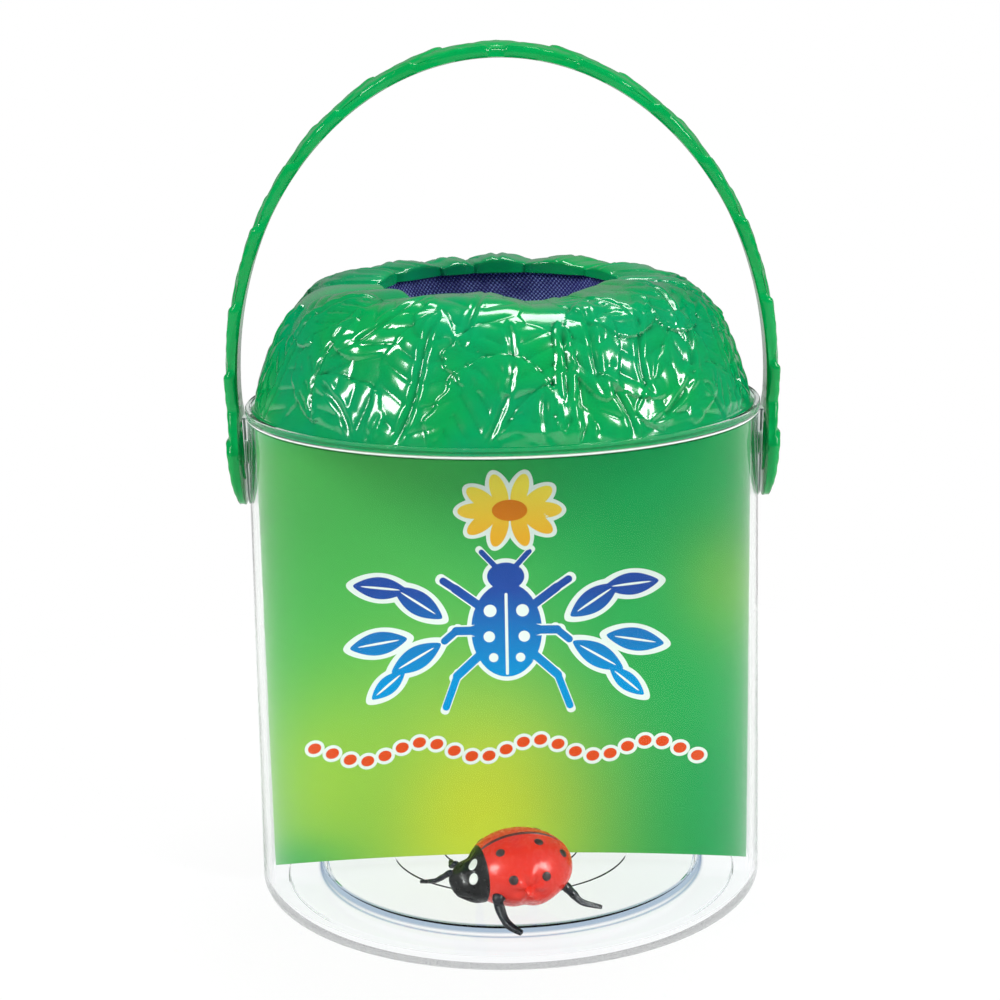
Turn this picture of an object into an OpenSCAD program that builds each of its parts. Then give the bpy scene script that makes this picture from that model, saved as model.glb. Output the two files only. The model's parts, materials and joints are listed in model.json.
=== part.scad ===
// Bug catcher jar: a clear jar with a leafy lid, a gathered cloth sleeve in the lid's opening,
// a carrying handle on two pivots, a printed card across the jar and a rubber ladybird on the floor.
// Origin at the centre of the resting face, +Z up, -Y towards the front of the card.

/* [Jar] */
// Outer radius of the jar wall below the rim
jar_r = 74.3; // [68:0.1:82]
// How much wider the wall is at the foot than below the rim
foot_spread = 1.2; // [0:0.1:2]
// Height from the resting face to the top of the rim
jar_h = 145.9; // [138:0.1:158]
// Thickness of the jar wall
jar_wall = 1.9; // [1.5:0.1:2.2]
// Thickness of the jar floor
floor_t = 1.8; // [1.4:0.1:2.2]
// Outer radius of the corner between wall and foot
corner_r = 2.6; // [2.4:0.1:4]
// Radial width of the foot ring
foot_w = 5; // [4:0.1:6]
// Height of the foot ring below the floor's underside
foot_h = 2.1; // [1.6:0.1:2.6]
// Radius of the raised disc in the middle of the floor
disc_r = 58; // [52:0.5:62]
// Height of the raised disc over the floor around it
disc_h = 2.3; // [1.9:0.1:2.8]
// Height of the rim above the ledge that the lid rests on
rim_h = 2.5; // [2.2:0.1:3.4]
// How far the rim stands out from the wall
rim_flare = 0.5; // [0.3:0.1:1]
// Wall thickness of the rim outside the ledge
rim_wall = 1.6; // [1.3:0.1:1.8]

/* [Handle] */
// Drop from the ledge to the pivot axis
pivot_drop = 11.9; // [10.5:0.1:15]
// Radius of each pivot peg
peg_r = 3.5; // [2.8:0.1:4]
// Radial clearance between peg and bore
peg_clearance = 0.06; // [0.02:0.01:0.1]
// Radius of the snap head inside the jar
peg_head_r = 4.6; // [4.3:0.1:5.4]
// Thickness of the snap head
peg_head_t = 1.6; // [1.2:0.1:2]
// Radius of the round hub round each peg
hub_r = 8.5; // [7:0.1:9.5]
// Thickness of the hub that shows between paddle and ear
hub_t = 0.6; // [0.4:0.1:1.2]
// Running gap between hub and ear
hub_gap = 0.4; // [0.3:0.05:0.6]
// Width of the strap
strap_w = 12.5; // [10:0.1:15]
// Thickness of the strap
strap_t = 3.2; // [2.6:0.1:4]
// Width of the paddle at the pivot
paddle_w = 22; // [18:0.5:26]
// Thickness of the paddle
paddle_t = 3.6; // [3:0.1:4.4]
// Reach of the paddle below the pivot
paddle_drop = 15.9; // [12:0.1:18]
// Height above the pivot at which the legs turn into the arch
leg_rise = 17.5; // [14:0.5:21]
// Rise of the arch's inner face above the legs
arch_rise = 95.9; // [90:0.1:105]
// Angle by which the handle leans to the front at rest, in degrees
rest_lean = 7; // [0:1:12]

/* [Lid] */
// Radius of the opening at the leaf tips
opening_r = 34; // [31:0.5:36]
// Height of the lid's top above the ledge
lid_rise = 37.4; // [34:0.2:41]
// Thickness of the moulded shell
lid_wall = 1.8; // [1.4:0.1:2.2]
// Height of the flange that sits in the rim
flange_h = 2.4; // [2:0.1:3]
// Radial gap between flange and rim
flange_gap = 0.25; // [0.15:0.05:0.4]
// Greatest height of the leaf relief
leaf_relief = 2.3; // [1.6:0.1:2.6]
// How far the opening widens between the leaf tips
tip_notch = 2; // [1.2:0.1:2.4]
// How far the edge of the opening falls between the leaf tips
tip_fall = 1; // [0.5:0.1:1.1]
// Length of the longest leaves on the lid
leaf_len = 40; // [34:1:46]

/* [Sleeve] */
// Thickness of the gathered cloth
cloth_t = 0.6; // [0.5:0.05:0.8]
// Radius of the gathered hole at the bottom
neck_r = 9; // [7.5:0.5:11]
// Height of the hem round the gathered hole
hem_h = 4; // [3.5:0.25:5]
// Thickness of the elastic cord
elastic_d = 1.8; // [1.4:0.1:2.2]
// Depth of the folds half way down
fold_depth = 1.6; // [1:0.1:2]
// Width of the cloth clamped under the lid
clamp_w = 5; // [4:0.1:6]
// Thickness of the clamp ring
ring_t = 2.4; // [2:0.1:3]

/* [Card] */
// Thickness of the card
card_t = 0.5; // [0.4:0.05:0.8]
// Gap between the card's top edge and the bottom of the sleeve
card_headroom = 4; // [3:0.5:8]
// Distance from the jar's axis to the middle of the card
card_back = 6; // [4:0.5:9]
// How far the card's ends bow to the front
card_bow = 6; // [4:0.5:8]

/* [Ladybird] */
// Half length of the red body
bug_len = 15.3; // [13:0.1:16.5]
// Half width of the red body
bug_wid = 13.6; // [12:0.1:14.2]
// Half height of the red body
bug_ht = 10.6; // [9:0.2:11.4]
// Height of the body's underside over the floor
bug_lift = 1.6; // [1.2:0.1:2.4]
// Distance of the front left foot from the jar's wall
bug_wall_gap = 7.6; // [4:0.2:12]
// Radius of the printed spots
spot_r = 1.3; // [1:0.05:1.4]
// Radius of the printed eyes
eye_r = 1.25; // [1:0.05:1.5]
// Thickness of the printed spots and eyes
print_t = 0.3; // [0.2:0.05:0.4]
// Radius of a leg at the body
leg_r = 1.7; // [1.3:0.1:1.9]

/* [Hidden] */
$fn = 96;

// General clearances
touch_gap = 0.3;
print_gap = 0.05;
overrun = 20;

// Jar levels and radii
jar_in_r = jar_r - jar_wall;
floor_z = foot_h + floor_t;
disc_z = floor_z + disc_h;
ledge_z = jar_h - rim_h;
rim_r = jar_r + rim_flare;
mouth_r = rim_r - rim_wall;
foot_r = jar_r + foot_spread;
rim_chamfer = 0.3;
inner_corner_r = corner_r - jar_wall;
foot_in_r = foot_r - jar_wall;
groove_w = 0.8;
groove_depth = 0.4;
groove_radius_shares = [0.36, 0.62];

// Ears, which carry the pivots
pivot_z = ledge_z - pivot_drop;
ear_proud = 0.2;
ear_face_x = rim_r + ear_proud;
ear_root_x = jar_in_r + jar_wall / 3;
ear_low_r = 7;
ear_top_half_w = 11;
ear_drop = 8.9;
bore_r = peg_r + peg_clearance;

// Handle
hub_face_x = ear_face_x + hub_gap;
paddle_x = hub_face_x + hub_t;
leg_spread = 0.5;
arch_half_w = paddle_x + leg_spread;
strap_crown = 0.5;
strap_relief_share = 0.22;
strap_leaf_pitch = 11.5;
paddle_round_share = 1.04;
leg_stations = 14;
arch_stations = 66;
peg_head_gap = 0.35;
peg_head_x = sqrt(pow(jar_in_r, 2) - pow(peg_head_r, 2)) - peg_head_gap;
strap_section_shares = [[-0.82, 0], [0.82, 0], [1, 0.22], [1, 0.72], [0.62, 0.96], [0, 1],
                        [-0.62, 0.96], [-1, 0.72], [-1, 0.22]];

// Lid
lip_wall = 1.5;
lip_drop = 1.6;
lid_top_z = ledge_z + lid_rise;
flange_r = mouth_r - flange_gap;
dome_step = 0.85;
dome_base_r = flange_r - dome_step;
dome_base_z = ledge_z + flange_h;
dome_side_shares = [0.84, 0.49];
dome_shoulder_shares = [0.76, 1.02];
dome_crest_share = 0.223;
dome_run_share = 1.16;
under_reach_share = 0.8;
flange_edge_share = 0.9;
lip_back_r = opening_r + tip_notch + lip_wall;
under_z = lid_top_z - lid_wall;
lip_low_z = under_z - lip_drop;
lid_sides = 120;
dome_steps = 27;
under_steps = 7;
place_swing = 5;
tip_swing = 9;
edge_round = 0.8;

// Angles at which neighbouring leaf tips meet round the opening, and how high each tip after them stands
tip_edges = [15, 45, 78, 103, 120, 148, 174, 200, 231, 280, 300, 345];
tip_count = len(tip_edges);
tip_rise = 0.7;
tip_rise_shares = [-0.3, 0.4, 0.9, -0.6, 0.7, 1, -0.4, 0.3, 0.9, -1, 0.8, 0.1];
tip_leaf_shares = [0.85, 0.31, 0.25, 0.05, 0.5];

// Rings of leaves below the tips: count, turn share and tilt swing of each ring, then its leaves' length,
// half width and distance below the crest as shares of the longest leaf, and their relief under and in them
leaf_counts = [11, 10];
leaf_turn_shares = [0.5, 0.2];
leaf_swings = [24, 24];
leaf_ring_shares = [[0.95, 0.35, 0.72, 0.22, 0.5], [1, 0.4, 1.22, 0.42, 0.58]];

// Sleeve, its ring and its elastic
sleeve_top_z = under_z - touch_gap;
sleeve_top_r = lip_back_r + touch_gap;
ring_in_r = sleeve_top_r + cloth_t + touch_gap;
ring_out_r = sleeve_top_r + clamp_w;
ring_top_z = sleeve_top_z - cloth_t - touch_gap;
sleeve_low_rise = 0.6;
sleeve_low_z = ledge_z + sleeve_low_rise;
hem_top_z = sleeve_low_z + hem_h;
sleeve_sides = 66;
sleeve_steps = 5;
fold_count = 11;
funnel_shares = [[0.96, 0.58], [0.55, 0.34]];
neck_fold = 0.55;
elastic_ring_r = neck_r + neck_fold + cloth_t + elastic_d / 2 + touch_gap / 2;
elastic_z = sleeve_low_z + hem_h / 2;

// Card
card_low_z = disc_z;
card_high_z = sleeve_low_z - card_headroom;
card_end_y = card_back + card_bow;
card_half_w = sqrt(pow(jar_in_r, 2) - pow(card_end_y, 2)) - touch_gap;
card_curve_r = (pow(card_half_w, 2) + pow(card_bow, 2)) / (2 * card_bow);

// Ladybird: its own axes have +X forward, +Y to its left and zero at the floor of the jar
bug_side = 2.3;
bug_heading = 196;
bug_roll = 6;
bug_floor_gap = 0.1;
bug_mid_z = bug_lift + bug_ht;
neck_share = 0.73;
neck_x = neck_share * bug_len;
head_size = [9.1, 7.6, 6.3];
head_lead = 0.2;
head_drop = 2.2;
eye_long_share = 1.35;
seam_w = 0.5;
seam_depth = 0.5;
limb_sides = 8;
limb_radius_shares = [1, 0.9, 0.66, 0.48];
feeler_share = 0.7;
nub_r = 1.3;
nub_out = 1.6;

// Half sizes and middles of the body's and the head's egg shapes
bug_size = [bug_len, bug_wid, bug_ht];
bug_middle = [0, 0, bug_mid_z];
head_middle = [neck_x + head_lead, 0, bug_mid_z - head_drop];
head_reach = head_lead + head_size[0] + overrun;

// Directions on the body, as [turn from forward, height angle] on the unit sphere
spot_directions = [[40, 52], [132, 65], [151, 33], [69, 17], [107, 17],
                   [-50, 25], [-130, 40], [-155, 15], [-78, 5], [-108, 5]];
eye_directions = [[41, 66], [61, 34]];
nub_direction = [87, 0];

// Where each limb leaves the head or body, as a direction like those above
front_leg_root = [52, -15];
rear_leg_left_root = [145, -22];
rear_leg_right_root = [-118, -34];
feeler_left_root = [-12, 20];
feeler_right_root = [-40, 30];

// Routes of the limbs from there, as shares of the body's half length, half width and half height
front_leg_shares = [[0.59, 0.8, 0.54], [0.52, 1.08, 0.23], [0.33, 1.38, 0.085]];
rear_leg_left_shares = [[-0.89, 0.54, 0.49], [-1.04, 0.64, 0.27], [-1.4, 0.69, 0.085]];
rear_leg_right_shares = [[-0.5, -0.84, 0.38], [-0.54, -0.96, 0.18], [-0.6, -1.28, 0.085]];
feeler_left_shares = [[1.42, -0.26, 1], [1.55, -0.33, 0.89], [1.79, -0.48, 0.83]];
feeler_right_shares = [[1.19, -0.4, 1.22], [1.18, -0.5, 1.24], [1.17, -0.6, 1.27]];
bug_y = front_leg_shares[2][1] * bug_wid + bug_wall_gap - jar_in_r;

// Point at share t along a cubic curve with four control points
function curve_point(p, t) =
    pow(1 - t, 3) * p[0] + 3 * t * pow(1 - t, 2) * p[1] + 3 * t * t * (1 - t) * p[2] + pow(t, 3) * p[3];

// Direction of that curve at share t, as a unit vector
function curve_way(p, t) =
    let (d = pow(1 - t, 2) * (p[1] - p[0]) + 2 * t * (1 - t) * (p[2] - p[1]) + t * t * (p[3] - p[2]))
    d / norm(d);

// Angle brought into -180 to 180 degrees
function wrapped(a) = a - 360 * floor((a + 180) / 360);

// Triangles that join rows of points, each row a closed ring of n points, as one closed tube of rows
function ring_faces(rows, n) = [
    for (j = [0 : rows - 1], i = [0 : n - 1])
        let (a = j * n + i, b = j * n + (i + 1) % n)
        let (c = ((j + 1) % rows) * n + (i + 1) % n, d = ((j + 1) % rows) * n + i)
        each [[a, b, c], [a, c, d]]];

// Triangles of an open sweep of rows of n points, closed by a fan at each end
function sweep_faces(rows, n) = concat(
    [for (j = [0 : rows - 2], i = [0 : n - 1])
        let (a = j * n + i, b = j * n + (i + 1) % n, c = (j + 1) * n + (i + 1) % n, d = (j + 1) * n + i)
        each [[a, b, c], [a, c, d]]],
    [for (i = [1 : n - 2]) [0, i + 1, i]],
    [for (i = [1 : n - 2]) [(rows - 1) * n, (rows - 1) * n + i, (rows - 1) * n + i + 1]]);

// A round profile, turned about the jar's axis, of the space inside the jar
module jar_cavity() {
    rotate_extrude()
        difference() {
            union() {
                translate([0, floor_z])
                    square([foot_in_r - inner_corner_r, corner_r]);
                polygon([[0, floor_z + inner_corner_r], [foot_in_r, floor_z + inner_corner_r],
                         [jar_in_r, ledge_z], [jar_in_r, jar_h], [0, jar_h]]);
                translate([foot_in_r - inner_corner_r, floor_z + inner_corner_r])
                    circle(inner_corner_r);
                translate([0, ledge_z])
                    square([mouth_r, jar_h]);
            }
            difference() {
                square([disc_r, disc_z]);
                for (share = groove_radius_shares)
                    translate([disc_r * share, disc_z - groove_depth])
                        square([groove_w, floor_t]);
            }
        }
}

// The outside of the jar with its foot ring, hollow under the floor
module jar_outside() {
    rotate_extrude()
        difference() {
            union() {
                square([foot_r - corner_r, disc_z]);
                translate([foot_r - corner_r, corner_r])
                    circle(corner_r);
                polygon([[0, corner_r], [foot_r, corner_r], [jar_r, ledge_z - rim_chamfer],
                         [rim_r, ledge_z], [rim_r, jar_h], [0, jar_h]]);
            }
            square([foot_r - corner_r - foot_w, foot_h]);
            square([disc_r - floor_t, disc_z - floor_t]);
        }
}

// The flat pad on one side of the jar that the handle turns against
module jar_ear() {
    rotate([90, 0, 90])
        linear_extrude(ear_face_x - ear_root_x) {
            translate([0, pivot_z - ear_drop])
                circle(ear_low_r);
            polygon([[-ear_low_r, pivot_z - ear_drop], [ear_low_r, pivot_z - ear_drop],
                     [ear_top_half_w, ledge_z], [-ear_top_half_w, ledge_z]]);
        }
}

module jar() {
    color([0.9, 0.95, 0.98, 0.3])
        difference() {
            union() {
                jar_outside();
                for (turn = [0, 180])
                    rotate(turn)
                        translate([ear_root_x, 0, 0])
                            jar_ear();
            }
            jar_cavity();
            translate([-jar_r - overrun, 0, pivot_z])
                rotate([0, 90, 0])
                    cylinder(h = 2 * (jar_r + overrun), r = bore_r);
        }
}

// A leaf: its middle's angle and tilt in degrees, length, half width and distance below the crest, then the
// shares of relief under it and in it
function scaled_leaf(turn, tilt, shares) =
    [turn, tilt, shares[0] * leaf_len, shares[1] * leaf_len, shares[2] * leaf_len, shares[3], shares[4]];

// End of the span that starts at one of the angles at which tips meet, and the tip's leaf
function tip_end(k) = k + 1 < tip_count ? tip_edges[k + 1] : tip_edges[0] + 360;
function tip_half(k) = (tip_end(k) - tip_edges[k]) / 2;
function tip_leaf(k) = scaled_leaf(tip_edges[k] + tip_half(k), tip_swing * sin(101 * k),
    [tip_leaf_shares[0], tip_leaf_shares[1] * tip_half(k) * tip_count / 180, tip_leaf_shares[2],
     tip_leaf_shares[3], tip_leaf_shares[4]]);
function ring_leaf(j, i) = scaled_leaf(
    360 / leaf_counts[j] * (i + leaf_turn_shares[j]) + place_swing * sin(137 * i + 40 * leaf_counts[j]),
    leaf_swings[j] * sin(101 * i + 17 * leaf_counts[j]), leaf_ring_shares[j]);
leaves = concat([for (k = [0 : tip_count - 1]) tip_leaf(k)],
                [for (j = [0 : len(leaf_counts) - 1], i = [0 : leaf_counts[j] - 1]) ring_leaf(j, i)]);

// Relief share of a leaf at a point u across and v along it, both measured from its middle in lengths
function leaf_share(u, v, leaf) =
    let (along = v / leaf[2] + 0.5)
    let (half = leaf[3] * pow(sin(180 * pow(max(0, min(1, along)), 0.8)), 0.7))
    along <= 0 || along >= 1 || abs(u) >= half ? 0
        : leaf[5] + leaf[6] * (0.5 + 0.5 * (1 - pow(u / half, 2))) * (0.55 + 0.45 * along);

// Relief share at an angle a, and at a distance s below the crest, where the radius is r
function relief_share(a, s, r) = max([
    for (leaf = leaves)
        let (x = wrapped(a - leaf[0]) * PI / 180 * r, y = leaf[4] - s, tilt = leaf[1])
        abs(x) > leaf[2] ? 0
            : leaf_share(x * cos(tilt) - y * sin(tilt), x * sin(tilt) + y * cos(tilt), leaf)]);

// Control points of the dome's outline, from its foot to the crest beside the opening
dome_span = dome_base_r - opening_r;
dome_height = lid_top_z - dome_base_z;
dome_run = norm([dome_span, dome_height]) * dome_run_share;
dome_outline = [
    [dome_base_r, dome_base_z],
    [opening_r + dome_side_shares[0] * dome_span, dome_base_z + dome_side_shares[1] * dome_height],
    [opening_r + dome_shoulder_shares[0] * dome_span, dome_base_z + dome_shoulder_shares[1] * dome_height],
    [opening_r + dome_crest_share * dome_span, lid_top_z]];

// Outer point of the dome at angle a and share t of its outline, with the leaf relief
function dome_point(a, t) =
    let (p = curve_point(dome_outline, t), way = curve_way(dome_outline, t))
    p + leaf_relief * min(1, 6 * t) * relief_share(a, (1 - t) * dome_run, p[0]) * [way[1], -way[0]];

// Which tip lies at angle a, and how far across it, from -1 to 1
function tip_at(a) = let (b = a < tip_edges[0] ? a + 360 : a)
    max([for (k = [0 : tip_count - 1]) b >= tip_edges[k] ? k : 0]);
function tip_across(a) = let (b = a < tip_edges[0] ? a + 360 : a, k = tip_at(a))
    (b - tip_edges[k]) / tip_half(k) - 1;

// Inner radius of the opening at angle a, smallest at each leaf tip, and the height of its edge
function opening_edge(a) = opening_r + tip_notch * pow(abs(tip_across(a)), 3);
function opening_top(a) =
    lid_top_z - edge_round + tip_rise * tip_rise_shares[tip_at(a)] - tip_fall * pow(abs(tip_across(a)), 2);

// Full outline of the lid at angle a, anticlockwise from the outer foot of the flange
function lid_outline(a) =
    let (crest = dome_point(a, 1), edge = opening_edge(a), top = opening_top(a))
    concat(
        [[flange_r, ledge_z], [flange_r, ledge_z + flange_h * flange_edge_share]],
        [for (j = [0 : dome_steps - 1]) dome_point(a, j / dome_steps)],
        [crest, [(crest[0] + edge) / 2, (crest[1] + top + edge_round / 2) / 2], [edge, top],
         [edge + (lip_back_r - edge) / 4, lip_low_z],
         [lip_back_r, lip_low_z], [lip_back_r, under_z], [ring_out_r + touch_gap, under_z]],
        [for (j = [under_steps - 1 : -1 : 0])
            let (t = under_reach_share * j / (under_steps - 1))
            let (p = curve_point(dome_outline, t), way = curve_way(dome_outline, t))
            [p[0] - lid_wall * way[1], min(under_z, max(dome_base_z, p[1] + lid_wall * way[0]))]],
        [[dome_base_r - lid_wall, ledge_z]]);

module lid_shell() {
    rows = [for (i = [0 : lid_sides - 1])
        let (a = 360 * i / lid_sides)
        [for (p = lid_outline(a)) [p[0] * cos(a), p[0] * sin(a), p[1]]]];
    color([0.0, 0.62, 0.3])
        polyhedron(points = [for (row = rows) each row], faces = ring_faces(lid_sides, len(rows[0])));
}

module sleeve_ring() {
    color([0.0, 0.5, 0.25])
        translate([0, 0, ring_top_z - ring_t])
            difference() {
                cylinder(h = ring_t, r = ring_out_r);
                translate([0, 0, -overrun])
                    cylinder(h = ring_t + 2 * overrun, r = ring_in_r);
            }
}

// The funnel's outline, from the clamped edge down to the hem
funnel_outline = [
    [sleeve_top_r, ring_top_z - ring_t - touch_gap],
    for (share = funnel_shares)
        [sleeve_top_r * share[0], sleeve_low_z + (sleeve_top_z - sleeve_low_z) * share[1]],
    [neck_r, hem_top_z]];

// A point of the cloth at angle a and share t down the funnel, off its inner face by a share of its thickness
function funnel_point(a, t, side) =
    let (p = curve_point(funnel_outline, t), way = curve_way(funnel_outline, t))
    let (depth = fold_depth * sin(180 * pow(t, 1.3)) + neck_fold * t * t)
    let (fold = depth * (cos(fold_count * a) + 0.35 * sin(4 * a) * (1 - t)))
    p + side * cloth_t * [-way[1], way[0]] + [fold, 0];

// Outline of the cloth at angle a, down its inner face and back up its outer face
function sleeve_outline(a) =
    let (hem = neck_fold * cos(fold_count * a))
    concat(
        [[ring_out_r, sleeve_top_z - cloth_t], [ring_out_r, sleeve_top_z], [sleeve_top_r, sleeve_top_z]],
        [for (j = [0 : sleeve_steps]) funnel_point(a, j / sleeve_steps, 0)],
        [[neck_r + hem, sleeve_low_z], [neck_r + hem + cloth_t, sleeve_low_z]],
        [for (j = [sleeve_steps : -1 : 0]) funnel_point(a, j / sleeve_steps, 1)],
        [[sleeve_top_r + cloth_t, sleeve_top_z - cloth_t]]);

module cloth_sleeve() {
    rows = [for (i = [0 : sleeve_sides - 1])
        let (a = 360 * i / sleeve_sides)
        [for (p = sleeve_outline(a)) [p[0] * cos(a), p[0] * sin(a), p[1]]]];
    color([0.2, 0.17, 0.55])
        polyhedron(points = [for (row = rows) each row], faces = ring_faces(sleeve_sides, len(rows[0])));
}

module sleeve_elastic() {
    color([0.15, 0.15, 0.2])
        translate([0, 0, elastic_z])
            rotate_extrude()
                translate([elastic_ring_r, 0])
                    circle(elastic_d / 2);
}

// Station on the handle: place of the inner face, outward way, width, thickness and relief share
function leg_station(h) =
    let (near = max(0, 1 - pow(abs(h) / (paddle_drop * paddle_round_share), 2)))
    let (low = h < 0 ? pow(near, 0.5) : 1)
    [[paddle_x + leg_spread * max(0, h) / leg_rise, h], [1, 0],
     max(h < 0 ? 0 : strap_w, paddle_w * pow(near, 0.5)),
     h < 0 ? paddle_t * (0.5 + 0.5 * low) : paddle_t + (strap_t - paddle_t) * h / leg_rise];
function arch_station(turn) =
    let (way = [cos(turn) / arch_half_w, sin(turn) / arch_rise])
    [[arch_half_w * cos(turn), leg_rise + arch_rise * sin(turn)], way / norm(way), strap_w, strap_t];
function mirrored(s) = [[-s[0][0], s[0][1]], [-s[1][0], s[1][1]], s[2], s[3]];

leg_heights = [for (j = [0 : leg_stations - 1])
    -paddle_drop + (leg_rise + paddle_drop) * j / leg_stations];
handle_stations = concat(
    [for (h = leg_heights) leg_station(h)],
    [for (j = [0 : arch_stations]) arch_station(180 * j / arch_stations)],
    [for (j = [leg_stations - 1 : -1 : 0]) mirrored(leg_station(leg_heights[j]))]);

// Strap thickness share that rises towards the tip of each moulded leaf and drops behind it
function strap_leaf_share(k) =
    let (run = k * PI * arch_rise / arch_stations / strap_leaf_pitch)
    1 + strap_relief_share * pow(run - floor(run), 1.5);

// One ring of points round the strap, in the handle's own upright plane
function strap_ring(k) =
    let (s = handle_stations[k], relief = strap_leaf_share(abs(k - len(handle_stations) / 2)))
    [for (q = strap_section_shares)
        let (depth = s[3] * q[1] * (q[1] > 0.5 ? relief : 1) + (q[0] == 0 ? strap_crown : 0))
        [s[0][0] + s[1][0] * depth, q[0] * s[2] / 2, s[0][1] + s[1][1] * depth]];

// Hub, peg and snap head on one side of the handle
module handle_pivot() {
    rotate([0, 90, 0]) {
        translate([0, 0, hub_face_x])
            cylinder(h = paddle_x - hub_face_x + paddle_t / 4, r = hub_r);
        translate([0, 0, peg_head_x - peg_head_t])
            cylinder(h = paddle_x - peg_head_x + peg_head_t, r = peg_r);
        translate([0, 0, peg_head_x - peg_head_t])
            cylinder(h = peg_head_t, r = peg_head_r);
    }
}

module carry_handle() {
    points = [for (k = [0 : len(handle_stations) - 1]) each strap_ring(k)];
    color([0.0, 0.62, 0.28])
        translate([0, 0, pivot_z])
            rotate([rest_lean, 0, 0]) {
                polyhedron(points = points,
                           faces = sweep_faces(len(handle_stations), len(strap_section_shares)));
                for (turn = [0, 180])
                    rotate(turn)
                        handle_pivot();
            }
}

module printed_card() {
    color([0.3, 0.7, 0.3])
        translate([0, 0, card_low_z])
            linear_extrude(card_high_z - card_low_z)
                intersection() {
                    translate([0, -card_back - card_curve_r])
                        difference() {
                            circle(card_curve_r, $fn = 360);
                            circle(card_curve_r - card_t, $fn = 360);
                        }
                    translate([-card_half_w, -card_end_y - card_bow])
                        square([2 * card_half_w, 2 * card_bow + card_end_y]);
                }
}

// Places a piece of the ladybird, given in its own axes, on the floor of the jar
module bug_on_floor() {
    translate([bug_side, bug_y, disc_z + bug_floor_gap])
        rotate(bug_heading)
            children();
}

// The same for its body and head, which lean to their left about the body's middle
module bug_leaning() {
    bug_on_floor()
        translate(bug_middle)
            rotate([-bug_roll, 0, 0])
                translate(-bug_middle)
                    children();
}

// Direction and place in the leaning body's axes, turned into the ladybird's own axes
function leaning_way(v) =
    [v[0], v[1] * cos(bug_roll) + v[2] * sin(bug_roll), v[2] * cos(bug_roll) - v[1] * sin(bug_roll)];
function leaning_place(p) = bug_middle + leaning_way(p - bug_middle);

// The ladybird's body shape, grown all round by a margin
module bug_form(margin) {
    translate([0, 0, bug_mid_z])
        scale([bug_len + margin, bug_wid + margin, bug_ht + margin])
            sphere(1);
}

// The head's form: the body's shape carried on past the neck, and a smaller egg shape for the face
module head_form(margin) {
    intersection() {
        union() {
            bug_form(margin);
            translate(head_middle)
                scale([head_size[0] + margin, head_size[1] + margin, head_size[2] + margin])
                    sphere(1);
        }
        translate([neck_x, -bug_wid - overrun, 0])
            cube([head_reach, 2 * (bug_wid + overrun), bug_mid_z + bug_ht + overrun]);
    }
}

// A shallow slit along the ladybird's back, between its two wings
module wing_seam() {
    difference() {
        translate([-bug_len, -seam_w / 2, bug_mid_z])
            cube([2 * bug_len, seam_w, bug_ht + overrun]);
        bug_form(-seam_depth);
    }
}

module ladybird_body() {
    color([0.85, 0.18, 0.12])
        bug_leaning()
            intersection() {
                difference() {
                    bug_form(0);
                    wing_seam();
                }
                translate([-bug_len - overrun, -bug_wid - overrun, 0])
                    cube([bug_len + overrun + neck_x, 2 * (bug_wid + overrun), bug_mid_z + bug_ht + overrun]);
            }
}

module ladybird_head() {
    color([0.06, 0.06, 0.07])
        bug_leaning()
            head_form(0);
}

// Point on an egg shape at a turn and height angle on the unit sphere, and the way out of the surface there
function unit_point(direction) =
    [cos(direction[0]) * cos(direction[1]), sin(direction[0]) * cos(direction[1]), sin(direction[1])];
function form_point(middle, size, direction) =
    let (p = unit_point(direction))
    middle + [size[0] * p[0], size[1] * p[1], size[2] * p[2]];
function form_way(size, direction) =
    let (p = unit_point(direction), way = [p[0] / size[0], p[1] / size[1], p[2] / size[2]])
    way / norm(way);

// A short rod square to an egg shape, centred on its surface at a direction, longer down the slope by a share
module aimed_rod(middle, size, direction, r, long_share = 1) {
    way = form_way(size, direction);
    translate(form_point(middle, size, direction))
        rotate([0, acos(way[2]), atan2(way[1], way[0])])
            translate([0, 0, -r])
                scale([long_share, 1, 1])
                    cylinder(h = 2 * r, r = r);
}

module ladybird_eyes() {
    color("white")
        bug_leaning()
            intersection() {
                difference() {
                    head_form(print_gap + print_t);
                    head_form(print_gap);
                }
                for (direction = eye_directions)
                    aimed_rod(head_middle, head_size, direction, eye_r, eye_long_share);
            }
}

module ladybird_spots() {
    color([0.08, 0.05, 0.05])
        bug_leaning()
            intersection() {
                difference() {
                    bug_form(print_gap + print_t);
                    bug_form(print_gap);
                }
                for (direction = spot_directions)
                    aimed_rod(bug_middle, bug_size, direction, spot_r);
            }
}

// Ring of points square to a way, round a place
function limb_ring(place, way, r) =
    let (side = cross(way, [0, 0, 1]) / norm(cross(way, [0, 0, 1])), over = cross(side, way))
    [for (k = [0 : limb_sides - 1])
        place + r * (cos(360 * k / limb_sides) * side + sin(360 * k / limb_sides) * over)];

// A tapering limb from its root, flat against the surface there, along a route of shares of the body's size
module bug_limb(root, root_way, route_shares, root_r) {
    route = concat([root], [for (q = route_shares) [q[0] * bug_len, q[1] * bug_wid, q[2] * bug_ht]]);
    last = len(route) - 1;
    ways = [for (k = [0 : last])
        let (d = route[min(k + 1, last)] - route[max(k - 1, 0)])
        k == 0 ? root_way : d / norm(d)];
    color([0.07, 0.08, 0.1])
        bug_on_floor()
            polyhedron(
                points = [for (k = [0 : last])
                    each limb_ring(route[k], ways[k], root_r * limb_radius_shares[k])],
                faces = sweep_faces(last + 1, limb_sides));
}

// A limb on the leaning head or body, just clear of the surface that it grows from
module form_limb(middle, size, direction, route_shares, root_r) {
    way = form_way(size, direction);
    root = form_point(middle, size, direction) + print_gap * way;
    bug_limb(leaning_place(root), leaning_way(way), route_shares, root_r);
}

module ladybird_leg_front_left() {
    form_limb(bug_middle, bug_size, front_leg_root, front_leg_shares, leg_r);
}

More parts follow.
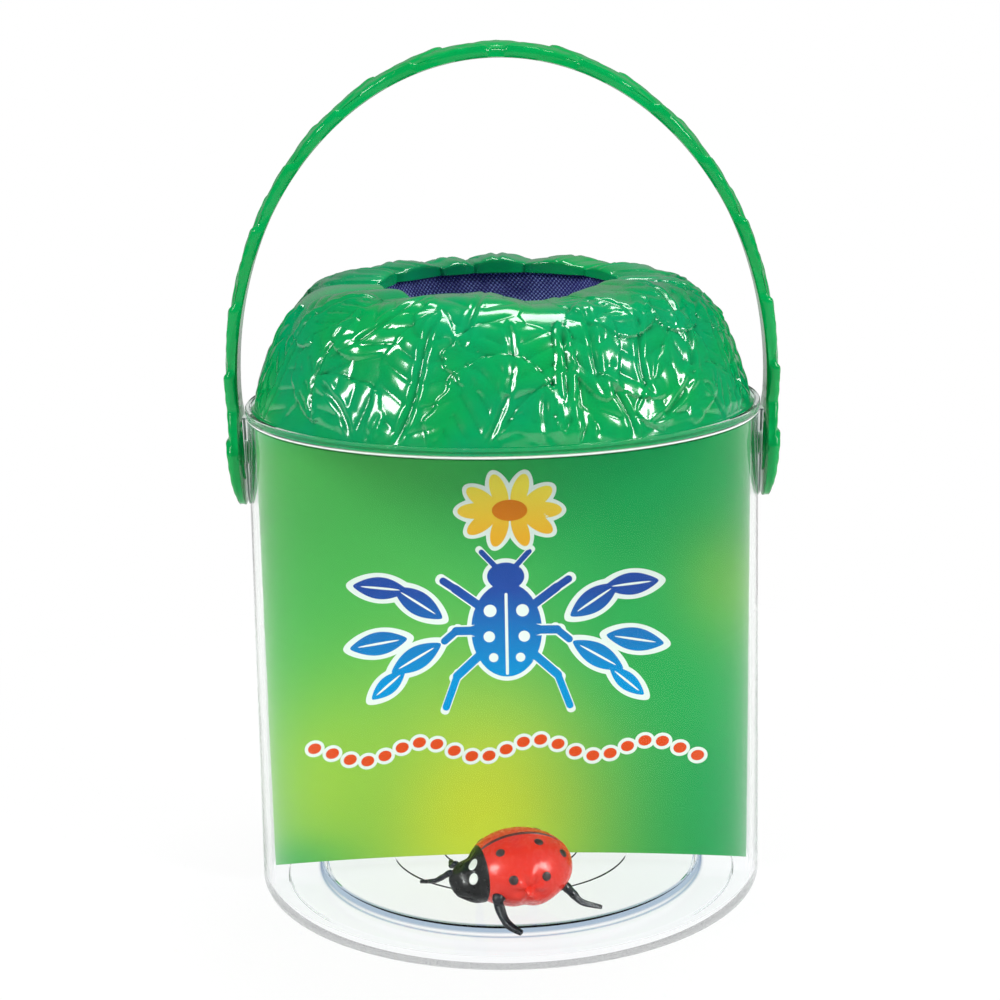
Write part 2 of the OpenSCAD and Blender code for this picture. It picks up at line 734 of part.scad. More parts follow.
module ladybird_leg_front_right() {
    mirrored_root = [-front_leg_root[0], front_leg_root[1]];
    mirrored_shares = [for (q = front_leg_shares) [q[0], -q[1], q[2]]];
    form_limb(bug_middle, bug_size, mirrored_root, mirrored_shares, leg_r);
}

module ladybird_leg_rear_left() {
    form_limb(bug_middle, bug_size, rear_leg_left_root, rear_leg_left_shares, leg_r);
}

module ladybird_leg_rear_right() {
    form_limb(bug_middle, bug_size, rear_leg_right_root, rear_leg_right_shares, leg_r);
}

module ladybird_feeler_left() {
    form_limb(head_middle, head_size, feeler_left_root, feeler_left_shares, leg_r * feeler_share);
}

module ladybird_feeler_right() {
    form_limb(head_middle, head_size, feeler_right_root, feeler_right_shares, leg_r * feeler_share);
}

module ladybird_nub() {
    color([0.85, 0.2, 0.13])
        bug_leaning()
            difference() {
                intersection() {
                    aimed_rod(bug_middle, bug_size, nub_direction, nub_r);
                    bug_form(nub_out);
                }
                bug_form(print_gap);
            }
}

jar();
lid_shell();
sleeve_ring();
cloth_sleeve();
sleeve_elastic();
carry_handle();
printed_card();
ladybird_body();
ladybird_head();
ladybird_eyes();
ladybird_spots();
ladybird_leg_front_left();
ladybird_leg_front_right();
ladybird_leg_rear_left();
ladybird_leg_rear_right();
ladybird_feeler_left();
ladybird_feeler_right();
ladybird_nub();
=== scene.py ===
import json
from functools import partialmethod
from math import acos, cos, degrees, hypot, pi, radians, sin, sqrt

import bmesh
import bpy
import numpy as np
from mathutils import Matrix, Vector


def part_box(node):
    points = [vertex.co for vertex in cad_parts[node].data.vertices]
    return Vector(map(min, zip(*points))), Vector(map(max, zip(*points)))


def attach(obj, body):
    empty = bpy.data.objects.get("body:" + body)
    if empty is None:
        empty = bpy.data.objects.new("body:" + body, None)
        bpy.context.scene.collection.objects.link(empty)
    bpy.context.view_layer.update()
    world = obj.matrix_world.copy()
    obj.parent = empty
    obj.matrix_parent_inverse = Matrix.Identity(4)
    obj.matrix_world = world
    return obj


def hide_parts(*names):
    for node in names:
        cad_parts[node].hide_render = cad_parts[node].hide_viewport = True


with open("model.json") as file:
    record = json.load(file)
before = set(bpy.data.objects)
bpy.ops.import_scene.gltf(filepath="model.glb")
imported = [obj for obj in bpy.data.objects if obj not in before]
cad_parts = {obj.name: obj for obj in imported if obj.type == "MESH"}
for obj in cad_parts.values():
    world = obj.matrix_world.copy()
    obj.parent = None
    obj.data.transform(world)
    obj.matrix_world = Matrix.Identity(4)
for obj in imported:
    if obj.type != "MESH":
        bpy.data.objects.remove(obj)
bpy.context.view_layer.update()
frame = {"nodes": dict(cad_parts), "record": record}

MM = 0.001

# Levels and radii read from the frame
jar_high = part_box("jar")[1]
lid_low, lid_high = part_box("lid_shell")
ring_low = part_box("sleeve_ring")[0]
sleeve_low, sleeve_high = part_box("cloth_sleeve")
card_low, card_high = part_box("printed_card")
JOINTS = {joint["name"]: joint for joint in frame["record"]["behaviour"]["joints"]}
PIVOT = Vector(JOINTS["handle_swing"]["pos_m"])

FOOT_R = jar_high[1]
JAR_R = FOOT_R - 1.2 * MM
JAR_TOP = jar_high[2]
RIM_R = JAR_R + 0.5 * MM
JAR_WALL = 1.9 * MM
JAR_IN_R = JAR_R - JAR_WALL
FOOT_IN_R = FOOT_R - JAR_WALL
MOUTH_R = RIM_R - 1.6 * MM
EAR_FACE = RIM_R + 0.2 * MM
LEDGE_Z = lid_low[2]
FLANGE_R = lid_high[0]


def smooth(x):
    """Smooth step of values already scaled to 0..1."""
    x = np.clip(x, 0.0, 1.0)
    return x * x * (3 - 2 * x)


def bell(x, half):
    """1 where x is 0, falling to 1/e at half on both sides."""
    return np.exp(-(x / half) ** 2)


def unit(v):
    return v / np.linalg.norm(v, axis=-1, keepdims=True)


def turned(points, angle, axis):
    """Points turned about an axis through zero."""
    return np.asarray(points) @ np.array(Matrix.Rotation(angle, 3, axis)).T


def points_of(*parts):
    """Points from their separate coordinates, which are spread over each other's grids."""
    return np.stack(np.broadcast_arrays(*parts), axis=-1)


def grid_of(rows, columns):
    return np.meshgrid(rows, columns, indexing="ij")


def full_turn(steps):
    return np.linspace(0, 2 * pi, steps, endpoint=False)


def run_along(points):
    """How far along a line of points each one lies."""
    return np.concatenate([[0], np.cumsum(np.linalg.norm(np.diff(points, axis=0), axis=1))])


def curve_point(p, t):
    """Points of a cubic curve with control points p at shares t."""
    t = np.asarray(t)[..., None]
    s = 1 - t
    return s**3 * p[0] + 3 * t * s**2 * p[1] + 3 * t * t * s * p[2] + t**3 * p[3]


def curve_way(p, t):
    """The unit ways that the curve runs there."""
    t = np.asarray(t)[..., None]
    s = 1 - t
    return unit(s**2 * (p[1] - p[0]) + 2 * t * s * (p[2] - p[1]) + t * t * (p[3] - p[2]))


# Mesh builders

def add_object(name, data):
    obj = bpy.data.objects.new(name, data)
    bpy.context.collection.objects.link(obj)
    return obj


def new_object(name, verts, faces, material, body, angle=None):
    """A smooth mesh object that rides on a body; edges sharper than an angle in degrees stay sharp."""
    mesh = bpy.data.meshes.new(name)
    mesh.from_pydata(np.reshape(verts, (-1, 3)).tolist(), [], faces)
    mesh.update()
    mesh.materials.append(material)
    obj = add_object(name, mesh)
    mesh.polygons.foreach_set("use_smooth", [True] * len(mesh.polygons))
    if angle is not None:
        mesh.set_sharp_from_angle(angle=radians(angle))
    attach(obj, body)
    return obj


def grid_faces(rows, columns, wrap_rows=False, wrap_columns=True):
    """Quads over a grid of points stored row by row, as a list."""
    r, c = grid_of(np.arange(rows - 1 + wrap_rows), np.arange(columns - 1 + wrap_columns))
    r2, c2 = (r + 1) % rows, (c + 1) % columns
    quads = points_of(r * columns + c, r * columns + c2, r2 * columns + c2, r2 * columns + c)
    return quads.reshape(-1, 4).tolist()


def add_uv(obj, uv):
    """Stores one pair of coordinates per point as the piece's UV map."""
    mesh = obj.data
    layer = mesh.uv_layers.new(name="Cloth")
    loops = np.empty(len(mesh.loops), dtype=np.int32)
    mesh.loops.foreach_get("vertex_index", loops)
    layer.data.foreach_set("uv", np.asarray(uv)[loops].ravel())


def ring_grid(pairs, sides):
    """Outline columns from pairs of radius and height, each one value or one for every side."""
    return np.stack([points_of(r, z, np.zeros(sides))[:, :2] for r, z in pairs], axis=1)


def lathe_points(outline, angles):
    """Grid of points, one row per angle, of an outline of (radius, height) turned about the jar's axis."""
    a = np.asarray(angles)[:, None]
    r, z = outline[..., 0], outline[..., 1]
    return points_of(r * np.cos(a), r * np.sin(a), z)


def sweep(route, radii, sides, squash=1.0):
    """Points and faces of a closed tube along a route; radii one per point, squash flattens it."""
    ways = unit(np.gradient(route, axis=0))
    side = unit(np.cross(ways[0], [0.0, 0.0, 1.0]))
    points = []
    turns = full_turn(sides)[:, None]
    for place, way, r in zip(route, ways, radii):
        side = unit(side - way * np.dot(side, way))
        over = np.cross(side, way)
        points.append(place + r * (np.cos(turns) * side + squash * np.sin(turns) * over))
    points = np.concatenate(points + [route[:1], route[-1:]])
    count = len(route) * sides
    faces = grid_faces(len(route), sides)
    for k in range(sides):
        after = (k + 1) % sides
        faces += [[count, after, k], [count + 1, count - sides + k, count - sides + after]]
    return points, faces


def spline(points, steps):
    """A smooth route through given points."""
    p = np.asarray(points, dtype=float)
    p = np.concatenate([2 * p[:1] - p[1:2], p, 2 * p[-1:] - p[-2:-1]])
    t = np.linspace(0, 1, steps, endpoint=False)[:, None]
    parts = [b + 0.5 * ((c - a) * t + (2 * a - 5 * b + 4 * c - d) * t**2 + (3 * b - a - 3 * c + d) * t**3)
             for a, b, c, d in zip(p, p[1:], p[2:], p[3:])]
    return np.concatenate(parts + [p[-2:-1]])


# Materials

THREAD_PITCH = 1.35 * MM


def linear(r, g, b):
    """A colour given in 0..255 as it shows on screen, as the shader wants it."""
    shares = (c / 255 for c in (r, g, b))
    return tuple(c / 12.92 if c <= 0.04045 else ((c + 0.055) / 1.055) ** 2.4 for c in shares) + (1.0,)


def new_material(name, color, roughness, **settings):
    """A material, its node tree and shader; settings are other inputs of the shader, with _ for a space."""
    mat = bpy.data.materials.new(name)
    mat.use_nodes = True
    shader = mat.node_tree.nodes["Principled BSDF"]
    own = {key.replace("_", " "): value for key, value in settings.items()}
    set_inputs(shader, {"Base Color": color, "Roughness": roughness, **own})
    return mat, mat.node_tree, shader


def set_inputs(node, inputs):
    """Sets a node's inputs, each to a value or to a field."""
    for key, value in inputs.items():
        if isinstance(value, Field):
            node.id_data.links.new(value.socket, node.inputs[key])
        else:
            node.inputs[key].default_value = value


def add_node(tree, kind, inputs=None, output=0, **settings):
    """Adds a node and returns one of its outputs as a field."""
    node = tree.nodes.new("ShaderNode" + kind)
    for key, value in settings.items():
        setattr(node, key, value)
    set_inputs(node, inputs or {})
    return Field(node.outputs[output])


class Field:
    """A value or colour that a shader works out at each point; sums on it add the nodes that they need."""

    def __init__(self, socket):
        self.socket = socket

    def into(self, kind, inputs, output=0, **settings):
        """A new node's output, with this as the node's first input."""
        return add_node(self.socket.id_data, kind, {0: self, **inputs}, output, **settings)

    def op(self, operation, *others):
        return self.into("Math", dict(enumerate(others, 1)), operation=operation)

    __add__ = partialmethod(op, "ADD")
    __sub__ = partialmethod(op, "SUBTRACT")
    __mul__ = partialmethod(op, "MULTIPLY")
    __truediv__ = partialmethod(op, "DIVIDE")
    __gt__ = partialmethod(op, "GREATER_THAN")

    def bell(self, half):
        """1 where this is 0, falling to 1/e at half on both sides."""
        off = self / half
        return (off * off * -1.0).op("EXPONENT")

    def ramp(self, low, high, to_low=0.0, to_high=1.0):
        return self.into("MapRange", {1: low, 2: high, 3: to_low, 4: to_high})

    def mix(self, a, b):
        """Colour a where this is 0, running to b where it is 1."""
        return self.into("Mix", {6: a, 7: b}, 2, data_type="RGBA")

    def split(self):
        """The three parts of a vector."""
        return [self.into("SeparateXYZ", {}, k) for k in range(3)]


def object_place(tree):
    return add_node(tree, "TexCoord", output="Object")


def light_path(tree, kind):
    """1 for rays of a kind, or else 0."""
    return add_node(tree, "LightPath", output=kind)


def noise(tree, scale, detail=3.0):
    return add_node(tree, "TexNoise", {"Vector": object_place(tree), "Scale": scale, "Detail": detail}, "Fac")


def add_bump(shader, height, strength, distance):
    bump = {"Height": height, "Strength": strength, "Distance": distance}
    set_inputs(shader, {"Normal": add_node(shader.id_data, "Bump", bump)})


def mix_surface(tree, share, first, second):
    """The surface is first where share is 0 and second where it is 1."""
    set_inputs(tree.nodes["Material Output"], {"Surface": share.into("MixShader", {1: first, 2: second})})


def leaf_plastic(name, deep, bright, crease_shade_color=None, specular=0.5, peel=0.12):
    """Glossy green moulding: a slow drift of colour, faint orange peel and painted shade in the creases where
    a shade colour is given.
    """
    mat, tree, shader = new_material(name, bright, 0.14, Specular_IOR_Level=specular,
                                     Coat_Weight=0.6 * specular, Coat_Roughness=0.05)
    tone = noise(tree, 42.0, 2.0).ramp(0.35, 0.65).mix(deep, bright)
    if crease_shade_color is not None:
        tone = add_node(tree, "Attribute", output="Fac", attribute_name="crease_shade").mix(tone, crease_shade_color)
    set_inputs(shader, {"Base Color": tone, "Roughness": noise(tree, 300.0).ramp(0.3, 0.7, 0.12, 0.22)})
    add_bump(shader, noise(tree, 420.0, 2.0), peel, 0.0004)
    return mat


def clear_plastic():
    """Clear polished moulding: faint scuffs, a green cast up the wall, painted slate shade along the disc's
    edge, a frosted parting line between two painted dark lines at the rim, and frosted ends of the ears;
    lamps shine through."""
    clear, cast, shade = (0.985, 0.992, 1.0, 1.0), (0.955, 0.985, 0.962, 1.0), (0.96, 0.975, 0.985, 1.0)
    mat, tree, shader = new_material("clear_plastic", clear, 0.02, IOR=1.12, Transmission_Weight=1.0)
    x, y, z = object_place(tree).split()
    r = (x * x + y * y).op("SQRT")
    tint = z.ramp(8 * MM, 30 * MM).mix(clear, cast)
    # Painted shade: slate along the disc's edge and two dark lines at the rim stand in for light bent by
    # these edges.
    disc_edge_shade = (r - DISC_R).bell(0.6 * MM) * z.op("LESS_THAN", DISC_Z + 0.3 * MM)
    for share, color in ((disc_edge_shade, linear(120, 146, 178)),
                         ((z - (LEDGE_Z - 0.45 * MM)).bell(0.22 * MM), linear(20, 84, 74)),
                         ((z - (JAR_TOP - 1.2 * MM)).bell(0.22 * MM), linear(120, 176, 150))):
        tint = share.mix(tint, color)
    parting = (r > RIM_R - 0.4 * MM) * (z - (LEDGE_Z + 0.15 * MM)).bell(0.3 * MM)
    ear_end = x.op("ABSOLUTE") > EAR_FACE - 0.2 * MM
    frost = parting.op("MAXIMUM", ear_end * 0.7)
    set_inputs(shader, {"Base Color": tint, "Transmission Weight": frost.ramp(0.0, 1.0, 1.0, 0.15),
                        "Roughness": noise(tree, 900.0, 4.0).ramp(0.55, 0.8, 0.012, 0.06)})
    add_bump(shader, noise(tree, 60.0, 2.0), 0.05, 0.0005)
    passes = light_path(tree, "Is Shadow Ray").op("MAXIMUM", light_path(tree, "Is Diffuse Ray"))
    mix_surface(tree, passes, Field(shader.outputs[0]), add_node(tree, "BsdfTransparent", {"Color": shade}))
    return mat


def woven_cloth():
    """Navy plain-woven nylon: two sets of threads with painted highlights on their crowns, finer wear and
    broad patches of painted fold shade, from the cloth's own coordinates.
    """
    mat, tree, shader = new_material("navy_weave", linear(45, 40, 130), 0.62, Sheen_Weight=0.25,
                                     Sheen_Roughness=0.4, Sheen_Tint=linear(120, 130, 220))
    u, v, _ = add_node(tree, "UVMap", output="UV", uv_map="Cloth").split()
    threads = 2 * pi / THREAD_PITCH
    crossing = (u * threads).op("SINE") * (v * threads).op("SINE")
    worn = noise(tree, 160.0).ramp(0.35, 0.7, 0.35, 1.0)
    painted_fold_shade = noise(tree, 26.0, 1.0).ramp(0.4, 0.6, 0.45, 1.0)
    # Painted light and shade: crowns of the threads lighter than the hollows, and broad darker patches as
    # shade in the folds; the finer noise is wear.
    light = crossing.ramp(-0.2, 0.7) * worn * painted_fold_shade
    set_inputs(shader, {"Base Color": light.mix(linear(26, 26, 112), linear(168, 190, 255))})
    add_bump(shader, crossing, 0.7, 0.0003)
    return mat


def rubber(name, deep, bright, rough, specular=0.5):
    """Soft glossy toy rubber with a slight drift of colour and a skin of small dimples."""
    mat, tree, shader = new_material(name, bright, rough, Specular_IOR_Level=specular)
    set_inputs(shader, {"Base Color": noise(tree, 150.0).ramp(0.3, 0.7).mix(deep, bright),
                        "Roughness": noise(tree, 700.0).ramp(0.3, 0.7, rough - 0.06, rough + 0.1)})
    add_bump(shader, noise(tree, 1100.0, 2.0), 0.15, 0.0002)
    return mat


def print_ink(name, color):
    """Pad-printed paint: a flat colour with a fine darker grain."""
    mat, tree, shader = new_material(name, color, 0.45)
    dark = tuple(0.6 * c for c in color[:3]) + (1.0,)
    set_inputs(shader, {"Base Color": noise(tree, 2600.0).ramp(0.3, 0.7, 0.75, 1.0).mix(dark, color)})
    return mat


# The third colour of the lid's green is painted shade for its creases.
GREEN = leaf_plastic("leaf_green", linear(0, 144, 90), linear(0, 150, 74), linear(0, 74, 40))
HANDLE_GREEN = leaf_plastic("handle_green", linear(0, 146, 68), linear(0, 152, 76), specular=0.16, peel=0.03)
CLOTH = woven_cloth()
RED = rubber("ladybird_red", linear(220, 40, 28), linear(230, 52, 36), 0.24, 0.35)
# Painted shade for the groove of the seam between the wings.
SEAM_SHADE = rubber("ladybird_seam_shade", linear(40, 6, 6), linear(74, 12, 10), 0.35)
BLACK = rubber("ladybird_black", linear(1, 1, 2), linear(4, 4, 5), 0.3, 0.3)
LIMB_BLACK = rubber("ladybird_limb_black", linear(3, 5, 9), linear(12, 18, 30), 0.3, 0.35)
WHITE_INK = print_ink("eye_white", linear(236, 236, 228))
BLACK_INK = print_ink("spot_black", linear(36, 16, 16))
ELASTIC = rubber("elastic_blue", linear(20, 20, 44), linear(34, 34, 70), 0.6)
RING_PLASTIC = leaf_plastic("ring_green", linear(0, 120, 60), linear(2, 140, 70))


# Lid

OPENING_R = 34 * MM
TIP_NOTCH = 2 * MM
LID_TOP = LEDGE_Z + 37.4 * MM
LID_WALL = 1.8 * MM
LIP_LOW = LID_TOP - 3.4 * MM
UNDER_Z = LID_TOP - LID_WALL
LIP_FACE = 2.6 * MM
LIP_BACK_R = OPENING_R + TIP_NOTCH + 1.5 * MM
CLAMP_R = 43.1 * MM
DOME_BASE = (FLANGE_R - 0.85 * MM, LEDGE_Z + 2.4 * MM)
DOME_SPAN = DOME_BASE[0] - OPENING_R
DOME_HEIGHT = LID_TOP - DOME_BASE[1]
DOME_RUN = hypot(DOME_SPAN, DOME_HEIGHT) * 1.16
DOME_SHARES = np.array([(1.0, 0.0), (0.84, 0.49), (0.76, 1.02), (0.223, 1.0)])
DOME = (OPENING_R, DOME_BASE[1]) + DOME_SHARES * (DOME_SPAN, DOME_HEIGHT)
CREST_REACH = 16 * MM

# Points up the dome, and degrees between the lid's columns of points at the back and the front
DOME_ROWS = 122
BACK_STEP, FRONT_STEP = 0.8, 0.43

LEAF_WAVE = 0.9 * MM
LEAF_LIFT = 0.6 * MM
RELIEF_SINK = 1.1 * MM
RELIEF_LOW, RELIEF_HIGH = -0.5 * MM, 2.9 * MM
LEAF_STEP = 0.8 * MM
LEAF_EDGE = 0.7 * MM
LEAF_CROWN = 0.95 * MM
LEAF_PUFF = 0.55 * MM

# Angles in degrees at which neighbouring leaf tips meet round the opening, and how high each tip stands
TIP_EDGES = [15, 45, 78, 103, 120, 148, 174, 200, 231, 280, 300, 345]
TIP_RISES = np.array([0.2, 0.7, 1.0, 0.3, 0.9, 1.1, 0.1, 1.5, 2.4, -2.2, 2.2, 0.1]) * MM
TIP_FALL = 1.1 * MM
BACK_RISE = 1.4 * MM
FRONT_DIP = 2.8 * MM
FRONT_DIP_AT = 231
CREST_DIP = 1.6 * MM

# Leaves on the lid, lowest first: angle of the middle and distance below the crest (mm), tilt of the tip,
# length, half width and bow (mm), and how round the outline is
LEAVES = [
    # Back half
    (8, 46, 14, 44, 13, 3, 0.7), (30, 50, -18, 42, 14, -4, 0.6), (55, 47, 10, 46, 15, 3, 0.7),
    (80, 51, -12, 40, 14, 2, 0.6), (103, 46, 20, 44, 15, -3, 0.7), (128, 50, -16, 42, 14, 4, 0.6),
    (152, 47, 8, 44, 14, -3, 0.7), (174, 50, -14, 42, 13, 3, 0.6),
    (18, 27, -20, 36, 13, 4, 0.6), (43, 30, 12, 38, 14, -3, 0.7), (68, 27, -14, 36, 13, 3, 0.6),
    (92, 30, 18, 38, 14, -4, 0.7), (116, 27, -20, 36, 13, 3, 0.6), (140, 30, 14, 38, 14, 4, 0.7),
    (163, 27, -12, 36, 13, -3, 0.6),
    (30, 9, 8, 30, 12, 2, 0.6), (61, 10, -10, 30, 13, -2, 0.6), (90, 9, 6, 28, 11, 2, 0.6),
    (112, 10, -8, 28, 9, 2, 0.6), (134, 9, 10, 30, 12, -2, 0.6), (161, 10, -6, 30, 11, 2, 0.6),
    # Left of the front
    (190, 42, 6, 46, 13, -3, 0.7), (206, 42, 14, 46, 14, 4, 0.7), (214, 17, 26, 34, 13, -3, 0.6),
    (224, 38, 8, 36, 12, -3, 0.7), (232, 53, -34, 30, 12, 3, 0.6), (237, 19, 28, 36, 13, 4, 0.5),
    # Middle of the front
    (262, 14, 4, 34, 15, 0, 0.5), (250, 40, 10, 52, 13, 3, 0.7), (272, 32, 0, 26, 17, 0, 0.45),
    (268, 52, 20, 38, 18, 4, 0.45), (281, 58, -14, 30, 13, -3, 0.5), (284.5, 42, 2, 46, 4, 0, 0.4),
    # Right of the front
    (297, 54, -8, 30, 12, 3, 0.6), (306, 32, 10, 34, 14, -3, 0.45), (337, 42, 6, 46, 13, -3, 0.6),
    (352, 44, -8, 42, 12, 3, 0.7), (325, 56, -30, 34, 14, 3, 0.6), (316, 42, 36, 44, 12, 8, 0.5),
    (293, 28, 2, 40, 8, -2, 0.7), (345, 18, 10, 34, 12, -3, 0.6), (325, 14, 12, 32, 12, 2, 0.5),
    (302, 12, -22, 34, 13, 2, 0.5), (352, 6, -6, 28, 11, 2, 0.6)]


def leaf_field(across, along, leaf, seed):
    """Height of one leaf over what lies under it, in metres, and how much it covers, from 0 to 1."""
    length, half_width, bow, roundness = leaf[3] * MM, leaf[4] * MM, leaf[5] * MM, leaf[6]
    share = along / length + 0.5
    across = across + bow * (2 * share - 1) ** 2 - 0.4 * bow
    half = half_width * np.sin(np.pi * np.clip(share, 0, 1) ** 0.8) ** roundness
    half = half * (1 + 0.04 * np.sin(14 * share + 2 * seed) + 0.03 * np.sin(31 * share + seed)) + 1e-9
    u = np.clip(np.abs(across) / half, 0, 1)
    cover = smooth((1 - u) * half / LEAF_EDGE) * ((share > 0) & (share < 1))
    crown = LEAF_CROWN * (1 - u * u) * (0.55 + 0.45 * share)
    pitch = (7.4 + 1.6 * sin(seed)) * MM
    phase = (along - (0.8 + 0.25 * cos(seed)) * np.abs(across)) / pitch + 0.37 * seed
    lobe = np.abs(np.sin(np.pi * phase)) ** 0.7
    puff = LEAF_PUFF * (lobe - 0.6) * smooth(2.6 * (1 - u)) * smooth(4 * u) * smooth(4 * (1 - share))
    rib = 0.3 * bell(np.abs(across) - 1.9 * MM, 0.9 * MM) - 0.5 * bell(across, 0.75 * MM)
    midrib = rib * MM * smooth(7 * (1 - share)) * smooth(9 * share)
    curl = 0.35 * MM * sin(2.3 * seed + 1) * smooth((u - 0.6) / 0.4) * np.sign(across + 0.3 * half)
    return LEAF_STEP + crown + puff + midrib + np.maximum(curl, -0.3 * MM), cover


def blurred(height, reach):
    """A smoothed copy of a grid of heights that closes round its first axis."""
    weights = np.exp(-np.linspace(-2, 2, 2 * reach + 1) ** 2)
    weights /= weights.sum()
    around = np.concatenate([height[-reach:], height, height[:reach]])
    around = sum(w * around[k:k + len(height)] for k, w in enumerate(weights))
    down = np.pad(around, ((0, 0), (reach, reach)), mode="edge")
    return sum(w * down[:, k:k + height.shape[1]] for k, w in enumerate(weights))


def lid_relief(angle, below, radius):
    """Relief in metres over grids of angle in degrees, distance below the crest and radius."""
    wave = LEAF_WAVE * (np.sin(np.radians(5 * angle) + below / (6 * MM))
                        + np.sin(np.radians(-9 * angle) + below / (9 * MM)))
    height = np.zeros_like(angle)
    for seed, leaf in enumerate(LEAVES):
        x = np.radians(wrapped(angle - leaf[0])) * radius + 0.5 * wave
        y = leaf[1] * MM - below + 0.4 * wave
        c, s = cos(radians(leaf[2])), sin(radians(leaf[2]))
        own, cover = leaf_field(x * c - y * s, x * s + y * c, leaf, seed)
        near = cover * (np.abs(x) < 60 * MM)
        laid = np.maximum(height + LEAF_LIFT, 0.5 * blurred(height, 8) + own)
        height = height + near * (laid - height)
    return np.clip(height - RELIEF_SINK, RELIEF_LOW, RELIEF_HIGH)


def wrapped(a):
    """An angle in degrees brought to -180..180."""
    return (a + 180) % 360 - 180


def tip_span(angle):
    """Which leaf tip lies at each angle, and how far across it, from -1 to 1."""
    edges = np.array(TIP_EDGES + [TIP_EDGES[0] + 360])
    a = np.where(angle < TIP_EDGES[0], angle + 360, angle)
    k = np.searchsorted(edges, a, side="right") - 1
    return k, 2 * (a - edges[k]) / (edges[k + 1] - edges[k]) - 1


def opening_edge(angle):
    """Inner radius of the opening: each tip runs on past the start of the next, which is set back."""
    k, u = tip_span(angle)
    worn = 0.25 * MM * np.sin(np.radians(angle) * 11 + k)
    return OPENING_R + TIP_NOTCH * np.where(u > 0, np.clip(u, 0, 1) ** 7, 0.9 * np.clip(-u, 0, 1) ** 3) + worn


def opening_top(angle):
    """Height of the opening's edge: higher at the back, lower at each tip's ends, with a dip at the front."""
    k, u = tip_span(angle)
    lean = BACK_RISE * np.sin(np.radians(angle))
    past = angle - FRONT_DIP_AT
    dip = FRONT_DIP * np.where(past < 0, smooth(1 + past / 17), bell(past, 1.6))
    fall = TIP_FALL * (1 + 0.8 * np.clip(-np.sin(np.radians(angle)), 0, 1))
    return LID_TOP - 0.5 * MM + lean + TIP_RISES[k] - fall * np.abs(u) ** 2.4 - dip


def make_lid():
    """The lid: flange, dome with its leaves, rounded leaf tips with a tall face, and the hollow underside."""
    angle = np.concatenate([np.arange(0, 180, BACK_STEP), np.arange(180, 360, FRONT_STEP)])
    sides = len(angle)
    a, t = grid_of(angle, np.linspace(0, 1, DOME_ROWS))
    base, way = curve_point(DOME, t), curve_way(DOME, t)
    below = (1 - t) * DOME_RUN
    near_edge = smooth(1 - below / CREST_REACH)
    relief = lid_relief(a, below, base[..., 0]) * np.clip(16 * t, 0, 1) * (1 - 0.35 * near_edge)
    dome = base + relief[..., None] * points_of(way[..., 1], -way[..., 0])
    edge, top = opening_edge(angle), opening_top(angle)
    dome[..., 1] += near_edge * np.maximum(top - LID_TOP + 0.1 * MM, -CREST_DIP)[:, None]
    flange = [(FLANGE_R - 0.3 * MM, LEDGE_Z), (FLANGE_R, LEDGE_Z + 0.3 * MM), (FLANGE_R, LEDGE_Z + 1.9 * MM),
              (FLANGE_R - 0.4 * MM, LEDGE_Z + 2.2 * MM)]
    crest_r, crest_z = dome[:, -1].T
    rest = []
    for q in np.linspace(0, 1, 11)[1:]:
        turn = q * pi / 2
        rest.append((crest_r + (edge - crest_r) * sin(turn) ** 0.8,
                     crest_z + (top - 0.9 * MM - crest_z) * (1 - cos(turn)) ** 1.6))
    low = rest[-1][1]
    lip_low = np.minimum(LIP_LOW + 0.5 * BACK_RISE * np.sin(np.radians(angle)), top - LIP_FACE)
    back_r = LIP_BACK_R - np.clip(LIP_LOW - BACK_RISE - lip_low, 0, 1.8 * MM)
    rest += [(edge + 0.1 * MM * sin(q * 3), low + (lip_low - low) * q) for q in (0.3, 0.65, 0.92)]
    rest += [(edge + 0.3 * MM, lip_low), (back_r, lip_low), (LIP_BACK_R, UNDER_Z), (CLAMP_R, UNDER_Z)]
    for t_under in np.linspace(0.8, 0.0, 5):
        p, w = curve_point(DOME, t_under), curve_way(DOME, t_under)
        rest.append((p[0] - LID_WALL * w[1], min(UNDER_Z, max(DOME_BASE[1], p[1] + LID_WALL * w[0]))))
    rest.append((DOME_BASE[0] - LID_WALL, LEDGE_Z))
    outline = np.concatenate([ring_grid(flange, sides), dome, ring_grid(rest, sides)], axis=1)
    points = lathe_points(outline, np.radians(angle))
    faces = grid_faces(sides, outline.shape[1], wrap_rows=True)
    obj = new_object("leafy_lid", points, faces, GREEN, "lid", angle=42)
    # Painted shade: points below their smoothed surroundings get the darker crease colour, as shade in the
    # creases between leaves.
    valley = blurred(relief, 3) - relief
    crease_shade = np.zeros(outline.shape[:2])
    crease_shade[:, len(flange):len(flange) + DOME_ROWS] = blurred(smooth((valley - 0.06 * MM) / (0.28 * MM)), 2)
    obj.data.attributes.new("crease_shade", "FLOAT", "POINT").data.foreach_set("value", crease_shade.ravel())
    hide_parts("lid_shell")


# Handle

LEAN = radians(7)
LEG_RISE = 17.5 * MM
ARCH_RISE = 95.9 * MM
HUB_FACE = EAR_FACE + 0.4 * MM
PADDLE_X = HUB_FACE + 0.6 * MM
LEG_SPREAD = 0.5 * MM
ARCH_HALF = PADDLE_X + LEG_SPREAD
PADDLE_DROP = 15.9 * MM
PADDLE_W = 22 * MM
PADDLE_T = 3.6 * MM
STRAP_W = 12.5 * MM
STRAP_T = 3.2 * MM
HUB_R = 8.5 * MM
PEG_R = 3.5 * MM
SNAP_R = 4.6 * MM
STRAP_LEAF_PITCH = 10.5 * MM
STRAP_LEAF_L = 21 * MM
STRAP_LEAF_TILT = 0.42
VEIN_PITCH = 5.5 * MM
STRAP_RELIEF = 1.0 * MM
EDGE_WAVE = 0.9 * MM


def leaned(points):
    """Points of the handle's own upright plane, measured from the pivot, leaned and put in place."""
    return turned(points, LEAN, "X") + np.array(PIVOT)


